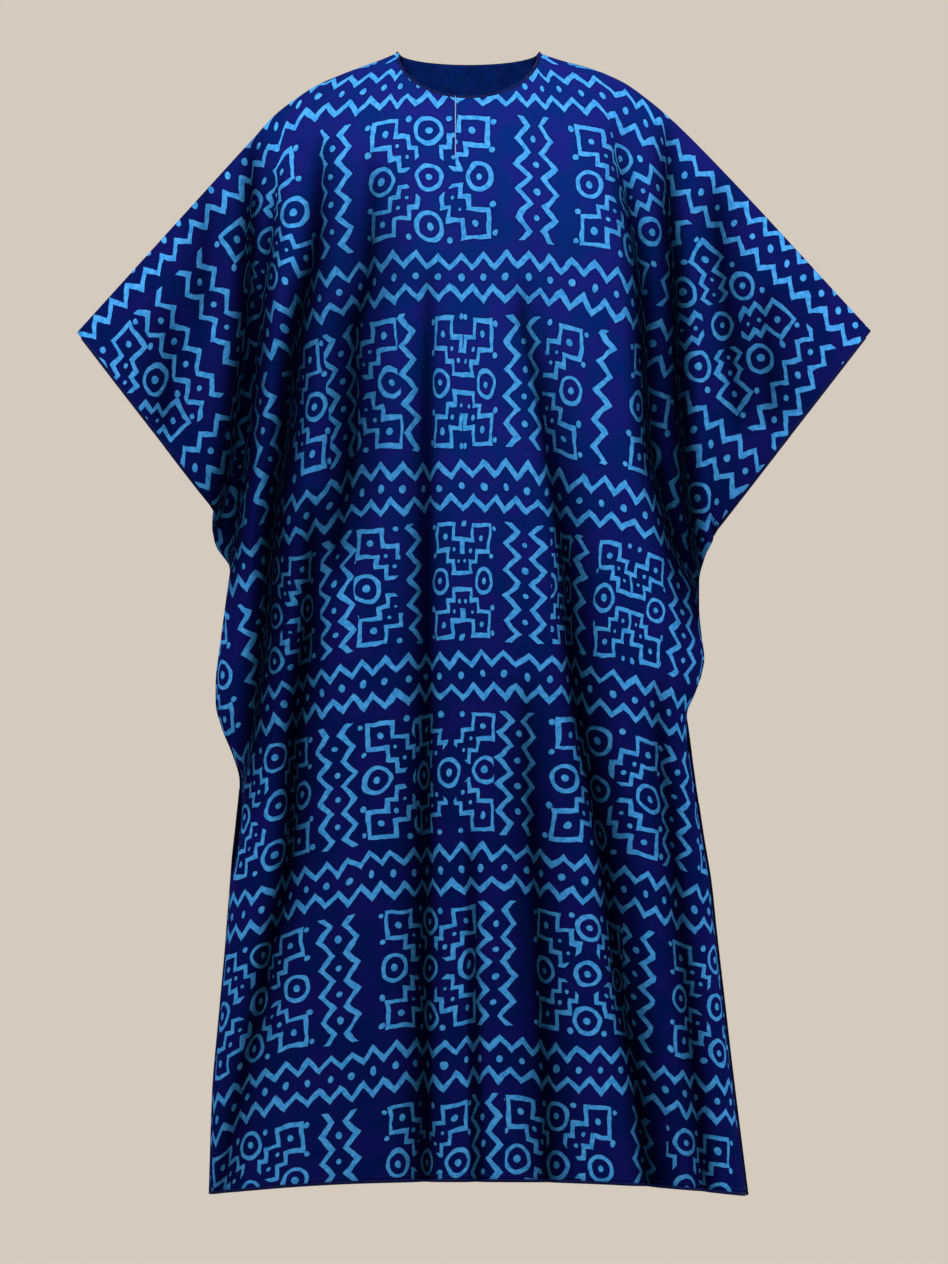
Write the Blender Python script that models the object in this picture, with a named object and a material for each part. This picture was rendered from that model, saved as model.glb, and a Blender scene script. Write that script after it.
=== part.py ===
# Full-length kaftan with wide sleeves cut in one with the body, shown filled out as it is worn,
# with no wearer. Three sewn pieces: the front with both half sleeves, the back with both half
# sleeves, and the plain facing turned inside the back of the neck.
#
# Metres, +Z up. +X is the picture's right and the front faces -Y. The origin is where the
# wearer's shoulders hold the garment: on its middle plane, under the two neck points.
# The tables are in millimetres: x across, and the drop below the neck points.

import math

import bpy
import numpy as np

MM = 0.001

# Driving sizes, in millimetres
HOLD_DROP = 30.0           # the shoulders hold the cloth this far under the neck points
WALL = 1.6                 # cloth with its turned edges
FACING_WALL = 1.1
SEAM_GAP = 0.3             # between sewn pieces
NECK_CENTRE = -4.5
NECK_HALF_WIDTH = 87.5
FRONT_NECK_DROP = 56.0
BACK_NECK_DROP = 14.0
SLIT_X = -20.5             # the short closed slit stands a little beside the middle
SLIT_WIDTH = 1.8
HEM_MIDDLE = 1405.0
HEM_SIDE_SAG = 19.0
HEM_HALF_WIDTH = 330.0
CHEST_DROP = 220.0         # how far under the shoulder line the cloth reaches its full depth
ARCH_POWER = 1.6           # roundness of the fall over the shoulders
SLEEVE_DEPTH = 44.0        # half the thickness of the open sleeve
SLEEVE_ROUND = 2.4
BODY_ROUND = 2.3
BLEND_POWER = 3.0
SLEEVE_HEIGHT = (409.0, 462.0)     # left and right, from the arm line straight down to the cuff corner
FADE = 55.0                # a fold runs out over this length past its last station

# Top line from cuff tip to cuff tip: x, drop. Between the neck points, where the cloth is cut
# away, it goes on as the crown that the cloth round the neck slopes down from.

RIDGE = (
    (-492.5, 349.0), (-270.0, 104.0), (-245.0, 77.0), (-219.0, 57.0), (-194.0, 41.0),
    (-155.0, 24.0), (-114.0, 9.0), (-92.0, 0.0), (-50.0, -12.0), (-4.5, -17.0), (41.0, -12.0),
    (83.0, 0.0), (106.0, 8.0), (149.0, 20.0), (187.0, 36.0), (216.0, 56.0), (246.0, 81.0),
    (290.0, 124.0), (497.5, 347.0),
)
SLEEVE_ROOT = (-275.0, 272.0)      # x on the top line where sleeve and body are told apart
TIP = ((-492.5, 349.0), (497.5, 347.0))
CUFF_CORNER = ((-322.5, 570.0), (301.0, 601.0))

# Side lines of the body, drop and x: under the arm, down the side seam, then the open side slit
LEFT_SIDE = (
    (109.0, -275.0), (278.0, -280.0), (432.0, -292.0), (570.0, -322.5), (590.0, -323.5),
    (614.0, -319.0), (644.0, -301.0), (668.0, -304.0), (732.0, -312.5), (790.0, -319.0),
    (811.0, -319.0), (844.0, -311.0), (874.0, -299.0), (912.0, -286.0), (958.0, -287.0),
    (1008.0, -293.0), (1040.0, -300.0), (1128.0, -307.5), (1209.0, -315.0), (1295.0, -322.5),
    (1424.0, -327.0),
)
LEFT_SIDE_BACK = LEFT_SIDE[:13] + (
    (912.0, -289.0), (958.0, -293.0), (1008.0, -298.5), (1040.0, -301.0),
) + LEFT_SIDE[17:]
RIGHT_SIDE = (
    (107.0, 272.0), (277.0, 279.0), (432.0, 287.0), (601.0, 301.0), (628.0, 290.0),
    (660.0, 282.5), (692.0, 282.5), (732.0, 286.0), (756.0, 289.0), (775.0, 286.0),
    (800.0, 277.5), (828.0, 267.0), (846.0, 266.5), (904.0, 274.0), (979.0, 285.0),
    (1039.0, 295.0), (1094.0, 301.0), (1180.0, 311.0), (1266.0, 321.0), (1424.0, 341.0),
)
# The columns inside the panel run along calmer lines than the wavy sides: drop and x
LEFT_CORE = ((109.0, -275.0), (600.0, -303.0), (900.0, -305.0), (1424.0, -327.0))
RIGHT_CORE = ((107.0, 272.0), (600.0, 288.0), (900.0, 290.0), (1424.0, 341.0))
CORE_POWER = 8.0
RIGHT_SIDE_BACK = RIGHT_SIDE[:12] + tuple((drop, x + 3.0) for drop, x in RIGHT_SIDE[12:])

# Depth of the middle of the body in front of and behind the middle plane: drop, depth
FRONT_DEPTH = ((0.0, 122.0), (280.0, 124.0), (570.0, 131.0), (915.0, 136.0), (1424.0, 150.0))
BACK_DEPTH = ((0.0, 108.0), (280.0, 114.0), (570.0, 118.0), (915.0, 128.0), (1424.0, 146.0))
# How far the free edges of the side slits swing out: drop, depth
SLIT_SWING = ((800.0, 0.0), (915.0, 0.0), (1010.0, 10.0), (1170.0, 24.0), (1424.0, 20.0))

# Folds sink into the garment: name, width left and right of the valley, then stations of
# drop, x and depth
FRONT_FOLDS = (
    ("left sleeve root", 18, 20, ((145, -275, 10), (316, -281, 28), (450, -294, 36), (574, -314, 22))),
    ("left underarm", 16, 16, ((195, -244, 6), (350, -262, 20), (484, -276, 28), (584, -290, 24),
                               (644, -301, 10))),
    ("left side", 22, 24, ((157, -187, 8), (232, -192, 18), (357, -217, 34), (450, -227, 38),
                           (607, -246, 38), (714, -256, 32), (795, -264, 24), (909, -276, 8))),
    ("left chest", 32, 34, ((170, -121, 6), (282, -127, 15), (350, -144, 20), (484, -149, 22),
                            (617, -167, 12))),
    ("left skirt", 22, 26, ((600, -198, 10), (714, -205, 22), (784, -213, 25), (876, -222, 26),
                            (985, -226, 24), (1057, -237, 20), (1131, -254, 18), (1194, -265, 15),
                            (1266, -281, 12), (1424, -314, 8))),
    ("middle", 24, 20, ((307, -42, 4), (432, -44, 9), (632, -50, 13), (807, -52, 15), (995, -59, 18),
                        (1424, -59, 17))),
    ("middle hem", 14, 14, ((1001, -2, 4), (1182, 2, 9), (1424, 6, 10))),
    ("right long", 24, 28, ((332, 64, 5), (432, 84, 10), (532, 101, 14), (632, 114, 18),
                            (806, 132, 22), (890, 146, 23), (1034, 167, 23), (1180, 186, 22),
                            (1295, 206, 22), (1424, 222, 22))),
    ("right low", 26, 26, ((832, 66, 5), (932, 72, 10), (1045, 81, 13), (1282, 91, 14), (1424, 95, 14))),
    ("right chest", 20, 20, ((132, 179, 5), (232, 200, 16), (307, 210, 23), (395, 216, 30),
                             (495, 222, 30), (582, 241, 18), (682, 260, 5))),
    ("right side", 19, 19, ((132, 241, 10), (220, 246, 22), (307, 252, 32), (407, 257, 38),
                            (495, 262, 40), (582, 270, 32), (670, 279, 12))),
    ("right skirt", 20, 20, ((832, 230, 8), (995, 249, 14), (1182, 268, 14), (1424, 290, 13))),
    ("left sleeve upper", 26, 26, ((210, -330, 5), (300, -338, 6))),
    ("left sleeve lower", 30, 30, ((360, -375, 7), (440, -382, 7))),
    ("right sleeve upper", 24, 24, ((207, 304, 8), (300, 316, 10), (430, 330, 8))),
    ("right sleeve lower", 30, 30, ((340, 366, 7), (430, 372, 7))),
)
BACK_FOLDS = (
    ("left sleeve root", 20, 20, ((150, -277, 10), (320, -283, 28), (450, -296, 36), (574, -314, 20))),
    ("left underarm", 20, 20, ((190, -240, 6), (350, -254, 20), (484, -268, 28), (600, -284, 20))),
    ("left shoulder blade", 24, 24, ((120, -178, 8), (260, -192, 20), (430, -206, 30), (600, -218, 30),
                                     (780, -236, 22), (900, -250, 8))),
    ("left back", 28, 28, ((260, -106, 6), (450, -118, 16), (700, -134, 20), (950, -150, 20),
                           (1200, -168, 20), (1424, -182, 20))),
    ("left back hem", 22, 24, ((760, -206, 8), (950, -222, 18), (1200, -246, 20), (1424, -268, 18))),
    ("back middle", 22, 24, ((380, -14, 5), (640, -22, 12), (900, -28, 16), (1424, -34, 18))),
    ("right of middle", 20, 20, ((720, 48, 6), (950, 56, 14), (1200, 62, 17), (1424, 66, 17))),
    ("right back", 26, 24, ((240, 96, 6), (430, 112, 16), (700, 132, 22), (950, 146, 22),
                            (1200, 160, 22), (1424, 172, 22))),
    ("right shoulder blade", 24, 24, ((120, 172, 8), (260, 192, 22), (430, 208, 32), (600, 226, 30),
                                      (760, 244, 18))),
    ("right underarm", 20, 20, ((150, 240, 10), (300, 250, 28), (450, 258, 40), (590, 268, 28),
                                (670, 276, 10))),
    ("right back hem", 24, 24, ((860, 214, 8), (1000, 228, 18), (1200, 252, 20), (1424, 276, 18))),
)

FRONT_COLOUR = (0.012, 0.022, 0.16)
BACK_COLOUR = (0.011, 0.020, 0.15)
FACING_COLOUR = (0.003, 0.013, 0.105)
CLOTH_ROUGHNESS = 0.42
FACING_ROUGHNESS = 0.5

# Rows of the cloth grid: shares of the way down from the top line to the cuff-corner level,
# then shares of the way from there to the hem
CUFF_LEVEL_MIDDLE = 500.0
UPPER_ROWS = (0.0, 0.01, 0.03, 0.065, 0.115, 0.176, 0.25, 0.34, 0.44, 0.55, 0.66, 0.77, 0.88, 1.0)
SLIT_ROW = 5               # the row of UPPER_ROWS at the slit's lower end, 134 mm down
SLIT_RELEASE = 5.0         # rows under it over which its two columns part again
NECK_SPREAD = 0.35         # share of the upper rows over which columns leave the neck's spacing
NECK_SPREAD_POWER = 0.8
NECK_STEPS = 720           # steps in which the neck edge is walked
LOWER_ROWS = (0.035, 0.075, 0.12, 0.17, 0.225, 0.28, 0.335, 0.39, 0.45, 0.52, 0.60, 0.68, 0.76,
              0.84, 0.92, 1.0)
FRONT_COLUMNS = (18, 24, 18)       # left shoulder, neck, right shoulder
BACK_COLUMNS = (14, 16, 14)
SLEEVE_COLUMNS = (0.05, 0.11, 0.18, 0.27, 0.37, 0.48, 0.60, 0.73, 0.86, 1.0)
FACING_ROWS = 4
FACING_INSET = 2           # columns between each neck point and the end of the facing


def smooth_line(stations):
    """A line through rows of place and value with no overshoot, level beyond both ends."""
    place = np.array([row[0] for row in stations], float)
    value = np.array([row[1] for row in stations], float)
    step = np.diff(place)
    slope = np.diff(value) / step
    tangent = np.zeros(len(value))
    tangent[0] = slope[0]
    tangent[-1] = slope[-1]
    for i in range(1, len(value) - 1):
        if slope[i - 1] * slope[i] > 0.0:
            tangent[i] = 2.0 * slope[i - 1] * slope[i] / (slope[i - 1] + slope[i])

    def line(where):
        where = np.clip(where, place[0], place[-1])
        i = np.clip(np.searchsorted(place, where, side="right") - 1, 0, len(step) - 1)
        t = (where - place[i]) / step[i]
        rise = t * t * (3.0 - 2.0 * t)
        leave = t * (1.0 - t) ** 2 * step[i] * tangent[i]
        arrive = -t * t * (1.0 - t) * step[i] * tangent[i + 1]
        return value[i] + (value[i + 1] - value[i]) * rise + leave + arrive

    return line


def quarter(share, power):
    """Rise from 0 to 1 that starts upright and ends level, as over a shoulder."""
    return (1.0 - (1.0 - np.clip(share, 0.0, 1.0)) ** power) ** (1.0 / power)


ridge_drop = smooth_line(RIDGE)
front_depth_line = smooth_line(FRONT_DEPTH)
back_depth_line = smooth_line(BACK_DEPTH)
slit_swing_line = smooth_line(SLIT_SWING)
left_core_line = smooth_line(LEFT_CORE)
right_core_line = smooth_line(RIGHT_CORE)


def hem_drop(x):
    return HEM_MIDDLE + HEM_SIDE_SAG * np.abs(x / HEM_HALF_WIDTH) ** 2.5


def fold_depth(folds, x, drop):
    """Depth of all the folds together at a place of the panel."""
    total = np.zeros(np.shape(x))
    for _, left_width, right_width, stations in folds:
        first, last = stations[0], stations[-1]
        depths = [(first[0] - FADE, 0.0)] + [(row[0], row[2]) for row in stations]
        if last[0] < HEM_MIDDLE:
            depths.append((last[0] + FADE, 0.0))
        off = x - smooth_line([(row[0], row[1]) for row in stations])(drop)
        width = np.where(off < 0.0, left_width, right_width)
        total = total + smooth_line(depths)(drop) * np.exp(-((off / width) ** 2))
    return total


def cloth_depth(x, drop, across, depth_line, folds):
    """How far the cloth lies from the middle plane. across is -1 and 1 on the body's side lines."""
    below = np.maximum(drop - ridge_drop(x), 0.0)
    lean = np.clip(x / CUFF_CORNER[1][0], -1.0, 1.0)
    height = 0.5 * (SLEEVE_HEIGHT[0] + SLEEVE_HEIGHT[1]) + 0.5 * lean * (SLEEVE_HEIGHT[1] - SLEEVE_HEIGHT[0])
    down_sleeve = np.clip(below / height, 0.0, 1.0)
    sleeve = SLEEVE_DEPTH * (1.0 - np.abs(2.0 * down_sleeve - 1.0) ** SLEEVE_ROUND) ** (1.0 / SLEEVE_ROUND)
    round_side = (1.0 - np.minimum(np.abs(across), 1.0) ** BODY_ROUND) ** (1.0 / BODY_ROUND)
    swing = slit_swing_line(drop)
    body = swing + (depth_line(drop) - swing) * round_side * quarter(below / CHEST_DROP, ARCH_POWER)
    base = (sleeve ** BLEND_POWER + body ** BLEND_POWER) ** (1.0 / BLEND_POWER)
    fold = fold_depth(folds, x, drop)
    return base * np.exp(-fold / np.maximum(base, 1e-6))


def top_line(columns, neck_drop):
    """Places of the grid's columns on the top edge of the body: x and drop."""
    left, neck, right = columns
    places = []
    for i in range(left):
        x = SLEEVE_ROOT[0] + (NECK_CENTRE - NECK_HALF_WIDTH - SLEEVE_ROOT[0]) * i / left
        places.append((x, float(ridge_drop(x))))
    # the neck opening is an ellipse, walked in steps of nearly equal length
    fine = np.linspace(math.pi, 0.0, NECK_STEPS + 1)
    steps = np.hypot(np.diff(NECK_HALF_WIDTH * np.cos(fine)), np.diff(neck_drop * np.sin(fine)))
    walked = np.concatenate(([0.0], np.cumsum(steps)))
    for i in range(neck + 1):
        angle = float(np.interp(walked[-1] * i / neck, walked, fine))
        places.append((NECK_CENTRE + NECK_HALF_WIDTH * math.cos(angle), neck_drop * math.sin(angle)))
    start = NECK_CENTRE + NECK_HALF_WIDTH
    for i in range(1, right + 1):
        x = start + (SLEEVE_ROOT[1] - start) * i / right
        places.append((x, float(ridge_drop(x))))
    return places


def across_body(side_lines, drops, across):
    """x of every column between the two side lines, at the drops of the row's two ends."""
    share = 0.5 * (across + 1.0)
    left_core, right_core = left_core_line(drops[0]), right_core_line(drops[1])
    left_edge, right_edge = side_lines[0](drops[0]), side_lines[1](drops[1])
    x = left_core * (1.0 - share) + right_core * share
    x = x + (left_edge - left_core) * np.maximum(-across, 0.0) ** CORE_POWER
    return x + (right_edge - right_core) * np.maximum(across, 0.0) ** CORE_POWER


def body_grid(columns, neck_drop, side_lines):
    """x, drop and across for every row and column of a panel's body."""
    top = top_line(columns, neck_drop)
    count = len(top) - 1
    across = 2.0 * np.arange(count + 1) / count - 1.0
    top_x = np.array([place[0] for place in top])
    top_drop = np.array([place[1] for place in top])
    corner = np.where(across < 0.0, CUFF_CORNER[0][1], CUFF_CORNER[1][1])
    cuff_level = CUFF_LEVEL_MIDDLE + (corner - CUFF_LEVEL_MIDDLE) * np.abs(across) ** 2
    edges = (smooth_line(side_lines[0]), smooth_line(side_lines[1]))
    rows = []
    for part in UPPER_ROWS:
        drop = top_drop + (cuff_level - top_drop) * part
        spread = across_body(edges, (drop[0], drop[-1]), across)
        even = min(part / NECK_SPREAD, 1.0) ** NECK_SPREAD_POWER
        rows.append((top_x * (1.0 - even) + spread * even, drop))
    for part in LOWER_ROWS:
        left_drop = cuff_level[0] + (hem_drop(HEM_HALF_WIDTH) - cuff_level[0]) * part
        right_drop = cuff_level[-1] + (hem_drop(HEM_HALF_WIDTH) - cuff_level[-1]) * part
        x = across_body(edges, (left_drop, right_drop), across)
        rows.append((x, cuff_level + (hem_drop(x) - cuff_level) * part))
    x = np.array([row[0] for row in rows])
    drop = np.array([row[1] for row in rows])
    return x, drop, np.tile(across, (len(rows), 1))


def open_slit(x):
    """Bring the two columns beside the slit together as far down as its end."""
    gap = int(np.argmin(np.abs(x[SLIT_ROW] - SLIT_X)))
    first = gap if x[SLIT_ROW][gap] <= SLIT_X else gap - 1
    edges = (SLIT_X - 0.5 * SLIT_WIDTH, SLIT_X + 0.5 * SLIT_WIDTH)
    for row in range(len(UPPER_ROWS)):
        free = np.clip((row - SLIT_ROW) / SLIT_RELEASE, 0.0, 1.0)
        for column, edge in zip((first, first + 1), edges):
            x[row][column] = edge * (1.0 - free) + x[row][column] * free
    return first


def sleeve_grid(x, drop, side):
    """x and drop for the sleeve's own columns, from the body's side line out to the cuff tip."""
    edge = 0 if side == 0 else -1
    count = len(UPPER_ROWS)
    root_x = x[:count, edge]
    root_drop = drop[:count, edge]
    tip_x, tip_drop = TIP[side]
    down = np.array(UPPER_ROWS)
    straight_x = root_x[0] + (root_x[-1] - root_x[0]) * down
    straight_drop = root_drop[0] + (root_drop[-1] - root_drop[0]) * down
    columns = []
    for out in SLEEVE_COLUMNS:
        bend = (1.0 - out) ** 2
        line_x = straight_x + (tip_x - straight_x) * out + (root_x - straight_x) * bend
        line_drop = straight_drop + (tip_drop - straight_drop) * out + (root_drop - straight_drop) * bend
        line_drop[0] = ridge_drop(line_x[0])
        columns.append((line_x, line_drop))
    return columns


class Panel:
    """Inner points and faces of one cloth panel, front or back."""

    def __init__(self, columns, neck_drop, side_lines, depth_line, folds, forward):
        self.forward = forward
        self.depth_line = depth_line
        self.folds = folds
        self.points = []
        self.faces = []
        x, drop, across = body_grid(columns, neck_drop, side_lines)
        self.slit = open_slit(x) if forward < 0 else None
        self.body = self.place(x, drop, across)
        self.neck = (columns[0], columns[0] + columns[1])
        rows, count = x.shape
        for row in range(rows - 1):
            for column in range(count - 1):
                if column == self.slit and row < SLIT_ROW:
                    continue
                self.quad(self.body[row][column], self.body[row][column + 1],
                          self.body[row + 1][column + 1], self.body[row + 1][column])
        for side in (0, 1):
            self.add_sleeve(x, drop, side)

    def place(self, x, drop, across):
        """Add points for arrays of x and drop, and return their numbers in the same shape."""
        depth = cloth_depth(x, drop, across, self.depth_line, self.folds) + 0.5 * SEAM_GAP
        start = len(self.points)
        for px, pd, py in zip(np.ravel(x), np.ravel(drop), np.ravel(depth)):
            self.points.append((px * MM, self.forward * py * MM, (HOLD_DROP - pd) * MM))
        return np.arange(start, len(self.points)).reshape(np.shape(x))

    def quad(self, a, b, c, d):
        """A face given clockwise as seen from the front; sides that have shrunk away are left out."""
        corners = []
        for point in (a, b, c, d):
            if point not in corners:
                corners.append(point)
        if len(corners) > 2:
            self.faces.append(tuple(corners) if self.forward > 0 else tuple(reversed(corners)))

    def add_sleeve(self, x, drop, side):
        count = len(UPPER_ROWS)
        edge = 0 if side == 0 else -1
        inner = self.body[:count, edge]
        for line_x, line_drop in sleeve_grid(x, drop, side):
            if abs(line_x[0] - line_x[-1]) < 1e-6:
                tip = self.place(line_x[:1], line_drop[:1], np.ones(1))
                outer = np.repeat(tip, count)
            else:
                outer = self.place(line_x, line_drop, np.ones(count))
            for row in range(count - 1):
                if side == 0:
                    self.quad(outer[row], inner[row], inner[row + 1], outer[row + 1])
                else:
                    self.quad(inner[row], outer[row], outer[row + 1], inner[row + 1])
            inner = outer


def point_normals(points, faces):
    """Area-weighted normals of a mesh's points."""
    points = np.array(points)
    normals = np.zeros_like(points)
    for face in faces:
        corner = points[list(face)]
        area = np.zeros(3)
        for i in range(1, len(corner) - 1):
            area += np.cross(corner[i] - corner[0], corner[i + 1] - corner[0])
        for index in face:
            normals[index] += area
    return normals / np.linalg.norm(normals, axis=1)[:, None]


def wall_mesh(name, near, far, faces):
    """Close two layers of the same faces into one wall. far lies on the side the faces look to."""
    count = len(near)
    walls = [tuple(index + count for index in face) for face in faces]
    walls += [tuple(reversed(face)) for face in faces]
    used = set()
    for face in faces:
        for i in range(len(face)):
            used.add((face[i], face[(i + 1) % len(face)]))
    for a, b in sorted(used):
        if (b, a) not in used:
            walls.append((a, b, b + count, a + count))
    mesh = bpy.data.meshes.new(name)
    mesh.from_pydata([tuple(p) for p in near] + [tuple(p) for p in far], [], walls)
    mesh.update()
    mesh.shade_smooth()
    mesh.set_sharp_from_angle(angle=math.radians(60.0))
    return mesh


def cloth_material(name, colour, roughness):
    material = bpy.data.materials.new(name)
    material.use_nodes = True
    shader = material.node_tree.nodes["Principled BSDF"]
    shader.inputs["Base Color"].default_value = (*colour, 1.0)
    shader.inputs["Roughness"].default_value = roughness
    shader.inputs["Metallic"].default_value = 0.0
    return material


def add_piece(name, mesh, material):
    piece = bpy.data.objects.new(name, mesh)
    bpy.context.scene.collection.objects.link(piece)
    mesh.materials.append(material)
    return piece


def add_panel(name, panel, colour):
    """The wall stands outwards from the panel's inner points, never across the seam plane."""
    inner = np.array(panel.points)
    normals = point_normals(panel.points, panel.faces)
    normals[:, 1] = panel.forward * np.maximum(panel.forward * normals[:, 1], 0.0)
    outer = inner + normals * WALL * MM
    mesh = wall_mesh(name, inner, outer, panel.faces)
    add_piece(name, mesh, cloth_material(name, colour, CLOTH_ROUGHNESS))


def add_back_facing(panel):
    """A plain band inside the back neck, made from the back panel's inner points moved inwards."""
    first, last = panel.neck
    normals = point_normals(panel.points, panel.faces)
    patch = panel.body[:FACING_ROWS + 1, first + FACING_INSET:last + 1 - FACING_INSET]
    numbers = np.ravel(patch)
    inner = np.array(panel.points)[numbers]
    direction = normals[numbers]
    near = inner - direction * (SEAM_GAP + FACING_WALL) * MM
    far = inner - direction * SEAM_GAP * MM
    rows, count = patch.shape
    faces = []
    for row in range(rows - 1):
        for column in range(count - 1):
            a = row * count + column
            faces.append((a, a + 1, a + count + 1, a + count))
    mesh = wall_mesh("back_neck_facing", near, far, faces)
    material = cloth_material("back_neck_facing", FACING_COLOUR, FACING_ROUGHNESS)
    add_piece("back_neck_facing", mesh, material)


def main():
    for old in list(bpy.data.objects):
        bpy.data.objects.remove(old, do_unlink=True)
    front = Panel(FRONT_COLUMNS, FRONT_NECK_DROP, (LEFT_SIDE, RIGHT_SIDE), front_depth_line,
                  FRONT_FOLDS, -1.0)
    back = Panel(BACK_COLUMNS, BACK_NECK_DROP, (LEFT_SIDE_BACK, RIGHT_SIDE_BACK), back_depth_line,
                 BACK_FOLDS, 1.0)
    add_panel("front_panel", front, FRONT_COLOUR)
    add_panel("back_panel", back, BACK_COLOUR)
    add_back_facing(back)


main()
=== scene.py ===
import math

import bmesh
import bpy
import numpy as np
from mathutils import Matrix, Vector


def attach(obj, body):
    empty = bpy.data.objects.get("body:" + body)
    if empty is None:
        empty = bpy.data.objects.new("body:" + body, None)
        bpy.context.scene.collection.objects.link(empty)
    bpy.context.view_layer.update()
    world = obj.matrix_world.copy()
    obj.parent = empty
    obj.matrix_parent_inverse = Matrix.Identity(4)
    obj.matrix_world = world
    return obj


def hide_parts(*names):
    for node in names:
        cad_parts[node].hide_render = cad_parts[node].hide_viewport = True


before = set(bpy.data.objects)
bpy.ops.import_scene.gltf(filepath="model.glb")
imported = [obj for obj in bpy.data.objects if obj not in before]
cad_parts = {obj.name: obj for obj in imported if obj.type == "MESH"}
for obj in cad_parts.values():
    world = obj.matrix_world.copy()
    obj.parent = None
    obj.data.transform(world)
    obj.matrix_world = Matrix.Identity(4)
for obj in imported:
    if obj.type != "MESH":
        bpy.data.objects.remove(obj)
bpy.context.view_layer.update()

MM = 0.001

# Driving sizes, as in the part's source
HOLD_DROP = 30.0
WALL = 1.6
# Nominal. The sewn edges measure 0.06 mm apart or more, and a thin broken line of light shows
# between them in an exact side view.
SEAM_GAP = 0.04
NECK_CENTRE = -4.5
NECK_HALF_WIDTH = 87.5
FRONT_NECK_DROP = 56.0
BACK_NECK_DROP = 14.0
SLIT_X = -20.5
SLIT_WIDTH = 0.7
SLIT_END = 134.0
HEM_MIDDLE = 1405.0
HEM_SIDE_SAG = 19.0
HEM_HALF_WIDTH = 330.0
HEM_SAG_POWER = 2.5
CHEST_DROP = 220.0
ARCH_POWER = 1.6
SLEEVE_DEPTH = 44.0
SLEEVE_ROUND = 2.4
BODY_ROUND = 2.3
BLEND_POWER = 3.0
SLEEVE_HEIGHT = (409.0, 462.0)
FADE = 55.0
CLOTH = 0.8                # thickness of the shell itself
CORE_SHARE = 0.9           # each valley has a narrow core, this much deeper again
CORE_WIDTH = 7.5
HOLLOW_DEPTH = 12.0        # painted shade in the fold valleys: a valley this deep is already painted well dark
RAISED_BASE = 20.0         # cloth this far from the middle plane carries a ridge at full height

RIDGE = (
    (-492.5, 349.0), (-270.0, 104.0), (-245.0, 77.0), (-219.0, 57.0), (-194.0, 41.0),
    (-155.0, 24.0), (-114.0, 9.0), (-92.0, 0.0), (-50.0, -12.0), (-4.5, -17.0), (41.0, -12.0),
    (83.0, 0.0), (106.0, 8.0), (149.0, 20.0), (187.0, 36.0), (216.0, 56.0), (246.0, 81.0),
    (290.0, 124.0), (497.5, 347.0),
)
SLEEVE_ROOT = (-275.0, 272.0)
TIP = (RIDGE[0], RIDGE[-1])
CUFF_CORNER = ((-322.5, 570.0), (301.0, 601.0))
LEFT_SIDE = (
    (109.0, -275.0), (278.0, -280.0), (432.0, -292.0), (570.0, -322.5), (590.0, -323.5),
    (614.0, -319.0), (644.0, -301.0), (668.0, -304.0), (732.0, -312.5), (790.0, -319.0),
    (811.0, -319.0), (844.0, -311.0), (874.0, -299.0), (912.0, -286.0), (958.0, -287.0),
    (1008.0, -293.0), (1040.0, -300.0), (1128.0, -307.5), (1209.0, -315.0), (1295.0, -322.5),
    (1424.0, -327.0),
)
LEFT_SIDE_BACK = LEFT_SIDE[:13] + (
    (912.0, -289.0), (958.0, -293.0), (1008.0, -298.5), (1040.0, -301.0),
) + LEFT_SIDE[17:]
RIGHT_SIDE = (
    (107.0, 272.0), (277.0, 279.0), (432.0, 287.0), (601.0, 301.0), (628.0, 290.0),
    (660.0, 282.5), (692.0, 282.5), (732.0, 286.0), (756.0, 289.0), (775.0, 286.0),
    (800.0, 277.5), (828.0, 267.0), (846.0, 266.5), (904.0, 274.0), (979.0, 285.0),
    (1039.0, 295.0), (1094.0, 301.0), (1180.0, 311.0), (1266.0, 321.0), (1424.0, 341.0),
)
LEFT_CORE = ((109.0, -275.0), (600.0, -303.0), (900.0, -305.0), (1424.0, -327.0))
RIGHT_CORE = ((107.0, 272.0), (600.0, 288.0), (900.0, 290.0), (1424.0, 341.0))
CORE_POWER = 8.0
RIGHT_SIDE_BACK = RIGHT_SIDE[:12] + tuple((drop, x + 3.0) for drop, x in RIGHT_SIDE[12:])
FRONT_DEPTH = ((0.0, 122.0), (280.0, 124.0), (570.0, 131.0), (915.0, 136.0), (1424.0, 150.0))
BACK_DEPTH = ((0.0, 108.0), (280.0, 114.0), (570.0, 118.0), (915.0, 128.0), (1424.0, 146.0))
SLIT_SWING = ((800.0, 0.0), (915.0, 0.0), (1010.0, 10.0), (1170.0, 24.0), (1424.0, 20.0))

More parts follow.
